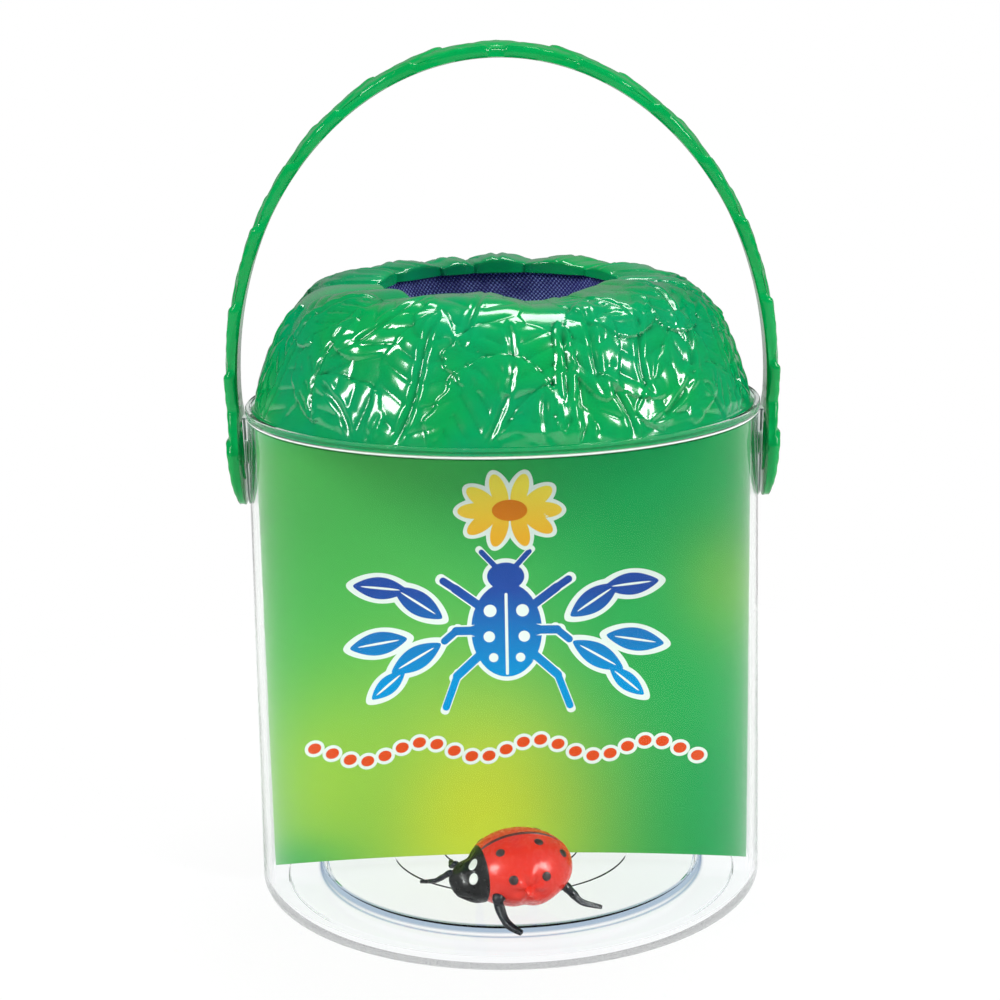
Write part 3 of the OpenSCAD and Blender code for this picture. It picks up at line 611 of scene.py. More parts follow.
def handle_line(steps_leg, steps_arch):
    """Inner face of the handle, up one leg and down the other: places, outward ways, widths, thicknesses."""
    h = np.linspace(-PADDLE_DROP, LEG_RISE, steps_leg, endpoint=False)
    near = np.clip(1 - (np.abs(h) / (PADDLE_DROP * 1.04)) ** 2, 0, None) ** 0.5
    leg_w = np.maximum(np.where(h < 0, 0, STRAP_W), PADDLE_W * near)
    leg_t = np.where(h < 0, PADDLE_T * (0.5 + 0.5 * near), PADDLE_T + (STRAP_T - PADDLE_T) * h / LEG_RISE)
    turn = np.linspace(0, pi, steps_arch)
    flip = np.array([-1.0, 1.0])
    line = []
    for leg, arch, other in (
            (points_of(PADDLE_X + LEG_SPREAD * np.clip(h, 0, None) / LEG_RISE, h),
             points_of(ARCH_HALF * np.cos(turn), LEG_RISE + ARCH_RISE * np.sin(turn)), flip),
            (np.tile([1.0, 0.0], (steps_leg, 1)),
             unit(points_of(np.cos(turn) / ARCH_HALF, np.sin(turn) / ARCH_RISE)), flip),
            (leg_w, np.full(steps_arch, STRAP_W), 1), (leg_t, np.full(steps_arch, STRAP_T), 1)):
        line.append(np.concatenate([leg, arch, (leg * other)[::-1]]))
    return line


def strap_leaves(run, across, width):
    """Relief share on the strap's outer face: leaves that overlap up each leg, with ribs and faint veins."""
    best = np.zeros_like(across)
    middle = run.max() / 2
    s = middle - np.abs(run - middle)
    for i in range(int(middle / STRAP_LEAF_PITCH) + 2):
        side = (-1) ** i
        tilt = side * STRAP_LEAF_TILT
        x = across - side * 0.2 * width
        y = s - i * STRAP_LEAF_PITCH - 1.5 * MM * sin(2.1 * i)
        off = x * cos(tilt) - y * sin(tilt)
        v = (x * sin(tilt) + y * cos(tilt)) / STRAP_LEAF_L + 0.5
        half = 0.5 * width * np.sin(np.pi * np.clip(v, 0, 1) ** 0.8) ** 0.6 + 1e-9
        u = np.abs(off) / half
        rib = -0.2 * bell(off, 0.9 * MM) * smooth(6 * (1 - v))
        veins = np.cos(2 * np.pi * (v * STRAP_LEAF_L - 0.8 * np.abs(off)) / VEIN_PITCH) * smooth(2 * (1 - u))
        height = 0.1 + 0.95 * np.clip(v, 0, 1) ** 1.5 + 0.3 * (1 - u * u) + rib + 0.07 * veins
        inside = (v > 0) & (v < 1) & (u < 1)
        best = np.maximum(best, np.where(inside, height * smooth((1 - u) * half / (1.5 * MM) + 0.1), 0))
    return blurred(best, 2)


def make_handle():
    """The strap and its paddles: one section, flat inside and leafy outside, carried along the line."""
    places, ways, widths, thick = handle_line(90, 560)
    inner, side, outer = 5, 5, 31
    outer_n = np.linspace(0.93, -0.93, outer)
    n_share = np.concatenate([np.linspace(-0.84, 0.84, inner), np.ones(side), outer_n, -np.ones(side)])
    side_d = np.linspace(0.12, 0.7, side)
    d_share = np.concatenate([np.zeros(inner), side_d, 0.66 + 0.3 * np.sqrt(1 - outer_n**2), side_d[::-1]])
    is_outer = np.concatenate([np.zeros(inner + side), np.ones(outer), np.zeros(side)])
    across = n_share * widths[:, None] / 2
    leaf = strap_leaves(run_along(places)[:, None], across, widths[:, None])
    depth = thick[:, None] * d_share + is_outer * leaf * STRAP_RELIEF
    edge_wave = EDGE_WAVE * (blurred(leaf, 4) - 0.55) * (np.abs(n_share) > 0.9) * smooth(d_share / 0.5)
    flat = places[:, None] + ways[:, None] * depth[..., None]
    points = points_of(flat[..., 0], across + np.sign(n_share) * edge_wave, flat[..., 1])
    count, sides = across.shape
    caps = [list(range(sides))[::-1], list(range((count - 1) * sides, count * sides))]
    obj = new_object("handle_strap", leaned(points), grid_faces(count, sides) + caps,
                     HANDLE_GREEN, "handle", angle=60)
    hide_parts("carry_handle")


def make_pivots():
    """Hub, peg and snap head on each side of the handle, turned about the pivot axis."""
    hub, face, head = PADDLE_X + 0.6 * MM, HUB_FACE, sqrt(JAR_IN_R**2 - SNAP_R**2) - 0.35 * MM
    r, x = np.array([(0, hub), (HUB_R, hub), (HUB_R, face + 0.25 * MM), (HUB_R - 0.25 * MM, face),
                     (PEG_R, face), (PEG_R, head), (SNAP_R, head), (SNAP_R, head - 0.8 * MM),
                     (SNAP_R - 0.4 * MM, head - 1.4 * MM), (0, head - 1.6 * MM)]).T
    turns = full_turn(64)[:, None]
    faces = grid_faces(len(turns), len(r), wrap_rows=True, wrap_columns=False)
    for name, side in (("right", 1), ("left", -1)):
        points = points_of(side * x, r * np.cos(turns), r * np.sin(turns))
        obj = new_object(f"handle_pivot_{name}", leaned(points), faces, HANDLE_GREEN, "handle", angle=30)


# Jar

FOOT_H = 2.1 * MM
FLOOR_T = 1.8 * MM
CORNER_R = 2.6 * MM
FLOOR_Z = FOOT_H + FLOOR_T
DISC_R = 58 * MM
DISC_Z = FLOOR_Z + 2.3 * MM
GROOVES = (0.36, 0.62)
EAR_DROP = 8.9 * MM
EAR_R = 7 * MM
EAR_TOP_HALF = 11 * MM
BORE_R = 3.56 * MM
CLEAR = clear_plastic()


def arc(cx, cz, r, start, end, steps):
    """Points of an arc between two angles in degrees."""
    turns = np.radians(np.linspace(start, end, steps))
    return [(cx + r * cos(t), cz + r * sin(t)) for t in turns]


def jar_outline():
    """Outline of the jar's wall from the axis under the floor, out, up, over the rim and down inside."""
    soft = 0.3 * MM
    foot_in, hollow_r = FOOT_R - CORNER_R - 5 * MM, DISC_R - FLOOR_T
    inner_r = CORNER_R - JAR_WALL
    out = [(0, DISC_Z - FLOOR_T), (hollow_r - soft, DISC_Z - FLOOR_T), (hollow_r, DISC_Z - FLOOR_T - soft),
           (hollow_r + soft, FOOT_H + soft), (hollow_r + 2 * soft, FOOT_H), (foot_in - soft, FOOT_H),
           (foot_in, FOOT_H - soft), (foot_in, soft), (foot_in + soft, 0)]
    out += arc(FOOT_R - CORNER_R, CORNER_R, CORNER_R, -90, 0, 12)
    out += [(JAR_R, LEDGE_Z - 0.3 * MM), (RIM_R - 0.1 * MM, LEDGE_Z - 0.1 * MM), (RIM_R, LEDGE_Z + 0.1 * MM)]
    out += arc(RIM_R - 0.5 * MM, JAR_TOP - 0.5 * MM, 0.5 * MM, 0, 90, 6)
    out += arc(MOUTH_R + 0.4 * MM, JAR_TOP - 0.4 * MM, 0.4 * MM, 90, 180, 5)
    out += [(MOUTH_R, LEDGE_Z + soft), (MOUTH_R - soft, LEDGE_Z), (JAR_IN_R + soft, LEDGE_Z),
            (JAR_IN_R, LEDGE_Z - soft)]
    out += arc(FOOT_IN_R - inner_r, FLOOR_Z + inner_r, inner_r, 0, -90, 9)
    out += [(DISC_R + 2 * soft, FLOOR_Z), (DISC_R, FLOOR_Z + soft), (DISC_R, DISC_Z - soft),
            (DISC_R - soft, DISC_Z)]
    for share in sorted(GROOVES, reverse=True):
        out += [(DISC_R * share + off * MM, DISC_Z - deep * MM)
                for off, deep in ((0.8, 0), (0.6, 0.4), (0.2, 0.4), (0, 0))]
    return np.array(out + [(0, DISC_Z)])


def make_jar():
    """The jar: its wall and floor turned in one, ears joined on and bored for the pegs."""
    outline = jar_outline()
    angle = full_turn(384)
    faces = grid_faces(len(angle), len(outline), wrap_rows=True, wrap_columns=False)
    obj = new_object("clear_jar", lathe_points(outline[None], angle), faces, CLEAR, "jar_body")
    weld(obj)
    near, low_z = JAR_IN_R + JAR_WALL / 3, PIVOT.z - EAR_DROP
    ear = arc(0, low_z, EAR_R, 180, 360, 24) + [(EAR_TOP_HALF, LEDGE_Z), (-EAR_TOP_HALF, LEDGE_Z)]
    bore = arc(0, PIVOT.z, BORE_R, 0, 360 - 360 / 48, 48)
    for outline, low, high, operation in ((ear, near, EAR_FACE, "UNION"),
                                          (bore, JAR_IN_R - 5 * MM, RIM_R + 5 * MM, "DIFFERENCE")):
        for side in (1, -1):
            apply_boolean(obj, prism_x(outline, *sorted((side * low, side * high))), operation)
    obj.data.set_sharp_from_angle(angle=radians(32))
    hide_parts("jar")


def weld(obj):
    """Joins points that coincide and turns all faces outwards."""
    mesh = bmesh.new()
    mesh.from_mesh(obj.data)
    bmesh.ops.remove_doubles(mesh, verts=mesh.verts, dist=0.001 * MM)
    bmesh.ops.dissolve_degenerate(mesh, dist=0.0001 * MM, edges=mesh.edges)
    bmesh.ops.recalc_face_normals(mesh, faces=mesh.faces)
    mesh.to_mesh(obj.data)
    mesh.free()


def prism_x(outline, low, high):
    """A closed prism along X from a (y, z) outline."""
    n = len(outline)
    points = [(x, y, z) for x in (low, high) for y, z in outline]
    faces = [list(range(n))[::-1], list(range(n, 2 * n))]
    faces += [[k, (k + 1) % n, n + (k + 1) % n, n + k] for k in range(n)]
    mesh = bpy.data.meshes.new("cutter")
    mesh.from_pydata(points, [], faces)
    obj = add_object("cutter", mesh)
    weld(obj)
    return obj


def apply_boolean(obj, cutter, operation):
    """Joins the cutter to a piece or takes it out, and removes the cutter."""
    modifier = obj.modifiers.new("cut", "BOOLEAN")
    modifier.operation, modifier.solver, modifier.object = operation, "EXACT", cutter
    graph = bpy.context.evaluated_depsgraph_get()
    result = bpy.data.meshes.new_from_object(obj.evaluated_get(graph))
    obj.modifiers.remove(modifier)
    obj.data = result
    bpy.data.objects.remove(cutter)


# Cloth sleeve: its flat size is that of the cut cloth, before it is gathered

CLOTH_T = 0.35 * MM
FUNNEL_END_R = 9 * MM
FUNNEL_END_RISE = 4 * MM
FOLD_DEPTH = 1.35 * MM
FINE_FOLD_DEPTH = 0.3 * MM
SLACK_DEPTH = 0.9 * MM
HEM_R = 9.15 * MM
RUFFLE_DEPTH = 0.42 * MM
WEAVE_R = 38 * MM


def funnel_outline():
    """Control points of the funnel's outline as (radius, height), from the clamp ring down to the hem."""
    top_r, low, high = LIP_BACK_R + 0.3 * MM, sleeve_low[2], sleeve_high[2]
    return np.array([(top_r, ring_low[2] - 0.3 * MM), (top_r * 0.96, low + (high - low) * 0.58),
                     (top_r * 0.55, low + (high - low) * 0.34), (FUNNEL_END_R, low + FUNNEL_END_RISE)])


def make_sleeve():
    """The gathered sleeve: clamped flange, funnel with folds that deepen downwards, and ruffled hem."""
    sides, rows, hem_rows = 720, 70, 14
    p = funnel_outline()
    angle = full_turn(sides)
    a, t = grid_of(angle, np.linspace(0, 1, rows))
    way = curve_way(p, t)
    main = np.cos(11 * a + 0.5 * np.sin(2 * a)) + 0.35 * np.sin(4 * a) * (1 - t)
    fine = 0.4 * np.sin(23 * a + 2.2 * np.sin(3 * a) + 4 * t)
    depth = FOLD_DEPTH * np.sin(np.pi * np.minimum(1, t * 0.72)) * np.minimum(1, 3 * t) - 0.1 * MM * t * t
    slack = SLACK_DEPTH * np.sin(np.pi * np.clip(t * 2.2, 0, 1)) * bell(a - 2.2, 0.5)
    out = (FINE_FOLD_DEPTH * fine * t + slack)[..., None] * points_of(-way[..., 1], way[..., 0])
    cloth = curve_point(p, t) + points_of(depth * main, 0) + out
    top_r, top_z = p[0][0], sleeve_high[2]
    flange = [(sleeve_high[0] - 0.1 * MM, top_z - 0.1 * MM), (top_r + 0.5 * MM, top_z - 0.1 * MM),
              (top_r + 0.12 * MM, top_z - 0.35 * MM), (top_r, top_z - 0.8 * MM)]
    last_r, last_z = cloth[:, -1].T
    hem, hem_z = [], sleeve_low[2] + 0.1 * MM
    for q in np.linspace(0, 1, hem_rows)[1:]:
        ruffle = RUFFLE_DEPTH * np.cos(22 * angle + 0.8 * np.sin(3 * angle)) * (1 - 0.3 * cos(6 * q))
        hem_r = HEM_R + ruffle + 0.35 * MM * cos(pi * 2 * q)
        hem.append((last_r + (hem_r - last_r) * smooth(3 * q), last_z + (hem_z - last_z) * q))
    face = np.concatenate([ring_grid(flange, sides), cloth, ring_grid(hem, sides)], axis=1)
    inner = lathe_points(face, angle)
    back = inner + grid_normals(inner) * CLOTH_T
    points = np.concatenate([inner, back[:, ::-1]], axis=1)
    faces = grid_faces(sides, points.shape[1], wrap_rows=True)
    obj = new_object("cloth_funnel", points, faces, CLOTH, "lid")
    run = run_along(face.mean(axis=0))
    v = np.concatenate([run, run[::-1]])
    add_uv(obj, points_of(angle[:, None] * WEAVE_R + 0.22 * v, v).reshape(-1, 2))
    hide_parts("cloth_sleeve")


def grid_normals(points):
    """Normals of a grid of points that closes along its first axis."""
    along = np.gradient(points, axis=1)
    padded = np.concatenate([points[-1:], points, points[:1]])
    around = (padded[2:] - padded[:-2]) / 2
    return unit(np.cross(along, around))


# Card

CARD_T = 0.5 * MM
CARD_BACK = 6 * MM
CARD_BOW = 6 * MM
CARD_HALF = card_high[0]
CARD_CURVE_R = (CARD_HALF**2 + CARD_BOW**2) / (2 * CARD_BOW)


def card_y(x, out=0.0):
    """Front face of the card at x; out lifts a print off it."""
    r = CARD_CURVE_R - CARD_T - out
    return -CARD_BACK - CARD_CURVE_R + np.sqrt(r * r - x * x)


def card_place(tree):
    """Place on the card as shares: across from -1 to 1, and up to 1 at its top edge."""
    x, _, z = object_place(tree).split()
    return x / CARD_HALF, z / card_high[2]


def card_material():
    """Printed card: soft greens like sunlit leaves out of focus, each a glow round a place on the card; the
    last, a band along the top edge, is painted light against the shade of the rim and lid.
    """
    mat, tree, shader = new_material("printed_green", linear(74, 174, 82), 0.5, Specular_IOR_Level=0.06)
    x, z = card_place(tree)
    tone = linear(80, 180, 84)
    for at_x, at_z, half_x, half_z, color in (
            (0.6, 1.0, 0.8, 0.45, (0, 164, 90)), (0.4, 0.45, 0.5, 0.22, (24, 166, 86)),
            (0.96, 0.64, 0.22, 0.13, (118, 188, 78)), (-0.12, 0.12, 0.52, 0.3, (206, 216, 60)),
            (-0.75, 0.22, 0.3, 0.2, (154, 200, 70)), (1.05, 0.12, 0.6, 0.42, (0, 154, 84)),
            # The band at the top edge (0.0, 1.03) is painted light that lifts the shade that the rim and lid
            # cast on the card.
            (-1.0, 0.04, 0.3, 0.06, (76, 176, 84)), (0.0, 1.03, 8.0, 0.05, (30, 182, 98))):
        tone = ((x - at_x).bell(half_x) * (z - at_z).bell(half_z)).mix(tone, linear(*color))
    tone = noise(tree, 18.0, 2.0).ramp(0.4, 0.7, 0.0, 0.1).mix(tone, linear(60, 178, 66))
    set_inputs(shader, {"Base Color": tone})
    add_bump(shader, noise(tree, 1500.0, 2.0), 0.04, 0.0001)
    return mat


def card_ink(name, top, bottom, z_top=1.0, z_bottom=0.0):
    """Ink of the drawing, from one colour down to another over a height; a plain ink stays near the lower."""
    mat, tree, shader = new_material(name, linear(*top), 0.5, Specular_IOR_Level=0.06)
    height = card_place(tree)[1].ramp(z_bottom / card_high[2], z_top / card_high[2])
    share = height.into("Math", {1: noise(tree, 1800.0, 2.0).ramp(0.3, 0.7, 0.0, 0.12)}, use_clamp=True)
    set_inputs(shader, {"Base Color": share.mix(linear(*bottom), linear(*top))})
    return mat


# Drawing on the card: a beetle among leaves, a dotted trail below it and a daisy above it
BEETLE = np.array([0.0, 77.0]) * MM
DAISY = np.array([1.5, 113.5]) * MM
TRAIL_Z = 40 * MM
TRAIL_HALF = 58 * MM
TRAIL_STEP = 5.2 * MM
TRAIL_WAVE = 2.6 * MM
TRAIL_BEND = 5.5 * MM
HALO = 1.3 * MM
INK_RISE = 0.02 * MM


def oval(middle, half_long, half_wide, tilt=0.0, point=0.0):
    """Closed outline round a middle: an ellipse, drawn out to points at its ends by a share."""
    a = full_turn(48)
    flat = points_of(half_long * np.cos(a), half_wide * np.sin(a) * (1 - point * np.cos(a) ** 2))
    c, s = cos(radians(tilt)), sin(radians(tilt))
    return np.asarray(middle) + flat @ np.array([[c, s], [-s, c]])


def bar(start, end, half_width):
    """Outline of a straight stroke with round ends."""
    way = unit(end - start)
    a = np.linspace(-pi / 2, pi / 2, 9)[:, None]
    cap = np.cos(a) * way + np.sin(a) * np.array([-way[1], way[0]])
    return np.concatenate([end + half_width * cap, start - half_width * cap])


def on_beetle(x, z):
    """A place in millimetres from the beetle's middle."""
    return BEETLE + np.array([x, z]) * MM


def beetle_outlines():
    """The beetle's body, head, feelers and six bent legs."""
    shapes = [oval(BEETLE, 14.5 * MM, 10.5 * MM, 90), oval(on_beetle(0, 16.5), 5.5 * MM, 4.2 * MM)]
    for side in (-1, 1):
        for height, lift in ((8, 5), (0, 0), (-8, -6)):
            hip, knee = on_beetle(side * 8.5, height), on_beetle(side * 15.0, height + lift)
            foot = on_beetle(side * 18.5, height + 2.1 * lift - 3)
            shapes += [bar(hip, knee, 1.3 * MM), bar(knee, foot, 1.1 * MM)]
        shapes.append(bar(on_beetle(side * 2.5, 19.0), on_beetle(side * 7.0, 24.0), 0.8 * MM))
    return shapes


def leaf_places():
    """Leaves on both sides of the beetle; each is middle, half length and tilt."""
    return [(on_beetle(side * x, z), half_long * MM, tilt if side > 0 else 180 - tilt)
            for x, z, half_long, tilt in ((26, 9, 8.5, 35), (37, 14, 8, 8), (27, -8, 8.5, -30),
                                          (38, -3, 8.5, -8), (35.5, -16, 6.5, -40))
            for side in (1, -1)]


def card_drawing():
    """Outlines of the drawing with the number of their ink: 1 white, 2 blue, 3 orange, 4 yellow, 5 amber."""
    beetle, leaves = beetle_outlines(), leaf_places()
    shapes = [(1, grown(outline, HALO)) for outline in beetle]
    shapes += [(1, oval(m, half + 1.6 * HALO, 0.42 * half + HALO, tilt, 0.3)) for m, half, tilt in leaves]
    shapes += [(2, outline) for outline in beetle]
    shapes += [(2, oval(m, half, 0.42 * half, tilt, 0.5)) for m, half, tilt in leaves]
    shapes += [(1, oval(m, 0.72 * half, 0.35 * MM, tilt)) for m, half, tilt in leaves]
    shapes.append((1, bar(on_beetle(0, 11), on_beetle(0, -13.5), 0.45 * MM)))
    shapes += [(1, oval(on_beetle(side * x, z), r * MM, r * MM))
               for side in (-1, 1) for x, z, r in ((4.8, 6, 1.9), (5.2, -2, 1.7), (4.0, -8.5, 1.4))]
    dots = [np.array([x, TRAIL_Z + TRAIL_WAVE * sin(x / TRAIL_BEND)])
            for x in np.arange(-TRAIL_HALF, TRAIL_HALF, TRAIL_STEP)]
    shapes += [(1, oval(m, 3.0 * MM, 2.6 * MM, 20)) for m in dots]
    shapes += [(3, oval(m, 2.0 * MM, 1.6 * MM, 20)) for m in dots]
    petals = [(DAISY + 6.0 * MM * np.array([1.65 * cos(a), sin(a)]), degrees(a))
              for a in full_turn(10)]
    shapes += [(1, grown(oval(m, 5.4 * MM, 2.5 * MM, tilt), HALO)) for m, tilt in petals]
    shapes += [(4, oval(m, 5.4 * MM, 2.4 * MM, tilt)) for m, tilt in petals]
    shapes.append((5, oval(DAISY, 5.2 * MM, 3.2 * MM)))
    return shapes


def grown(outline, margin):
    """An outline moved out from its middle by a margin."""
    return outline + margin * unit(outline - outline.mean(axis=0))


def make_card():
    """The bowed board, with its drawing as thin raised shapes on its front."""
    columns, rows = 120, 40
    x, z = grid_of(np.linspace(-CARD_HALF, CARD_HALF, columns),
                   np.linspace(card_low[2], card_high[2], rows))
    front = points_of(x, card_y(x), z)
    ring = np.concatenate([front, front[:, ::-1] + (0, CARD_T, 0)], axis=1)
    n = 2 * rows
    last = (columns - 1) * n
    faces = grid_faces(columns, n)
    faces += [[k, k + 1, n - 2 - k, n - 1 - k] for k in range(rows - 1)]
    faces += [[last + n - 1 - k, last + n - 2 - k, last + k + 1, last + k] for k in range(rows - 1)]
    verts, inks = [ring.reshape(-1, 3)], [0] * len(faces)
    count = len(verts[0])
    for layer, (ink, outline) in enumerate(card_drawing()):
        middle, sides = outline.mean(axis=0), len(outline)
        loops = np.stack([middle + t * (outline - middle) for t in (1.0, 0.66, 0.33, 0.02)])
        x, z = np.moveaxis(loops, -1, 0)
        verts.append(points_of(x, card_y(x, INK_RISE * (1 + 0.03 * layer)), z).reshape(-1, 3))
        shape = grid_faces(len(loops), sides) + [range(3 * sides, 4 * sides)]
        faces += [[count + k for k in face] for face in shape]
        inks += [ink] * len(shape)
        count += loops[..., 0].size
    obj = new_object("green_card", np.concatenate(verts), faces, card_material(), "jar_body", angle=40)
    for ink in (("white", (240, 244, 240), (232, 240, 232)),
                ("blue", (38, 76, 160), (0, 150, 214), BEETLE[1] + 14 * MM, BEETLE[1] - 16 * MM),
                ("orange", (236, 92, 36), (228, 78, 30)),
                ("yellow", (252, 226, 80), (246, 176, 44), DAISY[1] + 8 * MM, DAISY[1] - 8 * MM),
                ("amber", (236, 150, 34), (222, 120, 28))):
        obj.data.materials.append(card_ink("card_" + ink[0], *ink[1:]))
    obj.data.polygons.foreach_set("material_index", inks)
    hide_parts("printed_card")


# Ladybird: its own axes have +X forward, +Y to its left and zero at the floor of the jar

BUG_SIZE = np.array([15.3, 13.6, 10.6]) * MM
BUG_FOOT_SIDE = 1.38
BUG_WALL_GAP = 7.6 * MM
BUG_PLACE = np.array([2.3 * MM, BUG_FOOT_SIDE * BUG_SIZE[1] + BUG_WALL_GAP - JAR_IN_R, DISC_Z + 0.1 * MM])
BUG_HEADING = radians(196)
BUG_ROLL = radians(6)
BUG_MIDDLE = np.array([0, 0, 1.6 * MM + BUG_SIZE[2]])
NECK_X = 0.73 * BUG_SIZE[0]
HEAD_SIZE = np.array([9.1, 7.6, 6.3]) * MM
HEAD_MIDDLE = np.array([NECK_X + 0.2 * MM, 0, BUG_MIDDLE[2] - 2.2 * MM])
HEAD_HUB = np.array([NECK_X, 0, BUG_MIDDLE[2] - 1.5 * MM])
PRINT_RISE = 0.3 * MM
SEAM_DEPTH = 0.35 * MM
SEAM_HALF = 0.35 * MM
MOUTH_DEPTH = 0.35 * MM
HEAD_BLEND = 0.35 * MM

# Turn to the left and rise, in degrees, of each spot, each eye and the nub
SPOTS = [(40, 52), (132, 65), (151, 33), (69, 17), (107, 17), (-50, 25), (-130, 40), (-155, 15), (-78, 5),
         (-108, 5)]
EYES = [(41, 66), (61, 34)]
NUB = (87, 0)
SPOT_R = 1.3 * MM
EYE_RADII = (1.69 * MM, 1.25 * MM)
LEG_R = 1.7 * MM
FEELER_R = 0.7 * LEG_R

# Limbs: direction of the root on the body or head, then the route in shares of the body's size
FRONT_LEG = ((52, -15), [(0.59, 0.8, 0.54), (0.52, 1.08, 0.23), (0.33, BUG_FOOT_SIDE, 0.085)])
REAR_LEG_LEFT = ((145, -22), [(-0.89, 0.54, 0.49), (-1.04, 0.64, 0.27), (-1.4, 0.69, 0.085)])
REAR_LEG_RIGHT = ((-118, -34), [(-0.5, -0.84, 0.38), (-0.54, -0.96, 0.18), (-0.6, -1.28, 0.085)])
FEELER_LEFT = ((-12, 20), [(1.42, -0.26, 1.0), (1.55, -0.33, 0.89), (1.79, -0.48, 0.83)])
FEELER_RIGHT = ((-40, 30), [(1.19, -0.4, 1.22), (1.18, -0.5, 1.24), (1.17, -0.6, 1.27)])


def bug_world(points):
    """Points of the toy's own axes, turned to its heading and put in the jar."""
    return turned(points, BUG_HEADING, "Z") + BUG_PLACE


def leaning(points):
    """Points on the body or head, which lean to their left about the body's middle."""
    return turned(points - BUG_MIDDLE, -BUG_ROLL, "X") + BUG_MIDDLE


def sphere_point(direction):
    """Point of the unit sphere at a turn to the left and a rise, in degrees."""
    turn, rise = np.radians(direction)
    return np.array([cos(turn) * cos(rise), sin(turn) * cos(rise), sin(rise)])


def sphere_grid(polar, turns):
    """Unit points in rings about +X, at angles from it."""
    return points_of(np.cos(polar), np.sin(turns) * np.sin(polar), np.cos(turns) * np.sin(polar))


def body_surface(unit_points, out=0.0):
    """The red body at points of the unit sphere: seam between the wings, rubber drawn in round the nub."""
    x, y, z = np.moveaxis(unit_points, -1, 0)
    side = np.abs(y) * BUG_SIZE[1]
    seam = SEAM_DEPTH * bell(side, SEAM_HALF) - 0.12 * MM * bell(side - 0.75 * MM, 0.4 * MM)
    across, _, up = np.moveaxis(unit_points * BUG_SIZE - sphere_point(NUB) * BUG_SIZE, -1, 0)
    far = np.hypot(across, up) + 0.05 * MM
    folds = np.cos(5 * np.arctan2(up, across) + 0.8) * bell(far - 3.2 * MM, 2.2 * MM)
    pull = 0.7 * MM * bell(far, 2.6 * MM) + 0.45 * MM * folds
    under = 0.9 * MM * bell(across, 2.5 * MM) * smooth((-z - 0.25) / 0.4)
    sag = 0.3 * MM * np.sin(4.0 * np.arctan2(y, x) + 1.0) * smooth((-z - 0.1) / 0.5)
    near_nub = smooth((y - 0.2) / 0.3)
    grow = np.minimum(sag, 0.1 * MM) + out - seam * smooth(z / 0.15) - near_nub * (pull + under)
    return BUG_MIDDLE + unit_points * (BUG_SIZE + grow[..., None])


def make_bug_body():
    """The red body, cut off at the neck, with its points crowded towards the seam."""
    rings, sides = 150, 220
    turns = full_turn(sides)
    polar = np.linspace(acos(NECK_X / BUG_SIZE[0]), pi, rings)
    points = body_surface(sphere_grid(*grid_of(polar, turns - 0.75 * np.sin(turns))))
    points[0, :, 0] = NECK_X
    faces = grid_faces(rings, sides) + [list(range(sides))[::-1]]
    points = bug_world(leaning(points))
    obj = new_object("ladybird_shell", points, faces, RED, "ladybird", angle=60)
    # Faces along the seam get the darker red as painted shade in its groove.
    obj.data.materials.append(SEAM_SHADE)
    in_seam = np.zeros((rings - 1, sides), dtype=np.int32)
    in_seam[:, list(range(-7, 3))] = 1
    obj.data.polygons.foreach_set("material_index", list(in_seam.ravel()) + [0])
    weld(obj)
    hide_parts("ladybird_body")


def leave_distance(ways, hub, middle, size):
    """How far from the hub each way leaves an egg shape that holds the hub."""
    start = (hub - middle) / size
    step = ways / size
    a = (step * step).sum(axis=-1)
    b = (step * start).sum(axis=-1)
    return (-b + np.sqrt(b * b - a * (start @ start - 1))) / a


def head_surface(ways, out=0.0):
    """The head along ways from its hub: the body's shape carried on, blended with the egg of the face."""
    collar = leave_distance(ways, HEAD_HUB, BUG_MIDDLE, BUG_SIZE)
    face = leave_distance(ways, HEAD_HUB, HEAD_MIDDLE, HEAD_SIZE)
    rounding = HEAD_BLEND * np.log1p(np.exp(-np.abs(collar - face) / HEAD_BLEND))
    reach = np.maximum(collar, face) + rounding - 0.1 * MM
    x, y, z = np.moveaxis(ways, -1, 0)
    mouth = MOUTH_DEPTH * bell(z + 0.34 + 0.12 * np.abs(y), 0.05) * smooth((x - 0.45) / 0.3)
    cheeks = 0.22 * MM * np.sin(9 * y + 2) * np.sin(8 * z + 1) * smooth(x / 0.4)
    return HEAD_HUB + ways * (reach - mouth + cheeks + out)[..., None]


def make_bug_head():
    """The black head, in rings about its hub."""
    rings, sides = 90, 160
    ways = sphere_grid(*grid_of(np.linspace(pi / 2, 0, rings), full_turn(sides)))
    faces = grid_faces(rings, sides) + [list(range(sides))[::-1]]
    points = bug_world(leaning(head_surface(ways)))
    obj = new_object("ladybird_face", points, faces, BLACK, "ladybird", angle=60)
    weld(obj)
    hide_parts("ladybird_head")


def printed_ovals(name, places, surface, radii, material, node):
    """Raised ovals of paint on a surface, at places with their ways out; radii down the slope and across."""
    rings, sides = 9, 40
    t, a = grid_of(np.linspace(0, 1, rings), full_turn(sides))
    verts, faces = [], []
    for middle, way in places:
        across = unit(np.cross([0.0, 0.0, 1.0], way))
        down = np.cross(across, way)
        flat = middle + t[..., None] * (radii[0] * np.cos(a)[..., None] * down
                                        + radii[1] * np.sin(a)[..., None] * across)
        first = len(verts)
        verts.extend(surface(flat, PRINT_RISE * (0.35 + 0.65 * np.sqrt(1 - t**4))).reshape(-1, 3))
        verts.extend(surface(flat[-1:], np.full((1, sides), 0.02 * MM)).reshape(-1, 3))
        faces.extend([[first + k for k in q] for q in grid_faces(rings + 1, sides)])
    obj = new_object(name, bug_world(leaning(np.array(verts))), faces, material, "ladybird", angle=50)
    weld(obj)
    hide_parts(node)


def on_body(points, out):
    """Points moved onto the body, and off it by out."""
    return body_surface(unit((points - BUG_MIDDLE) / BUG_SIZE), out)


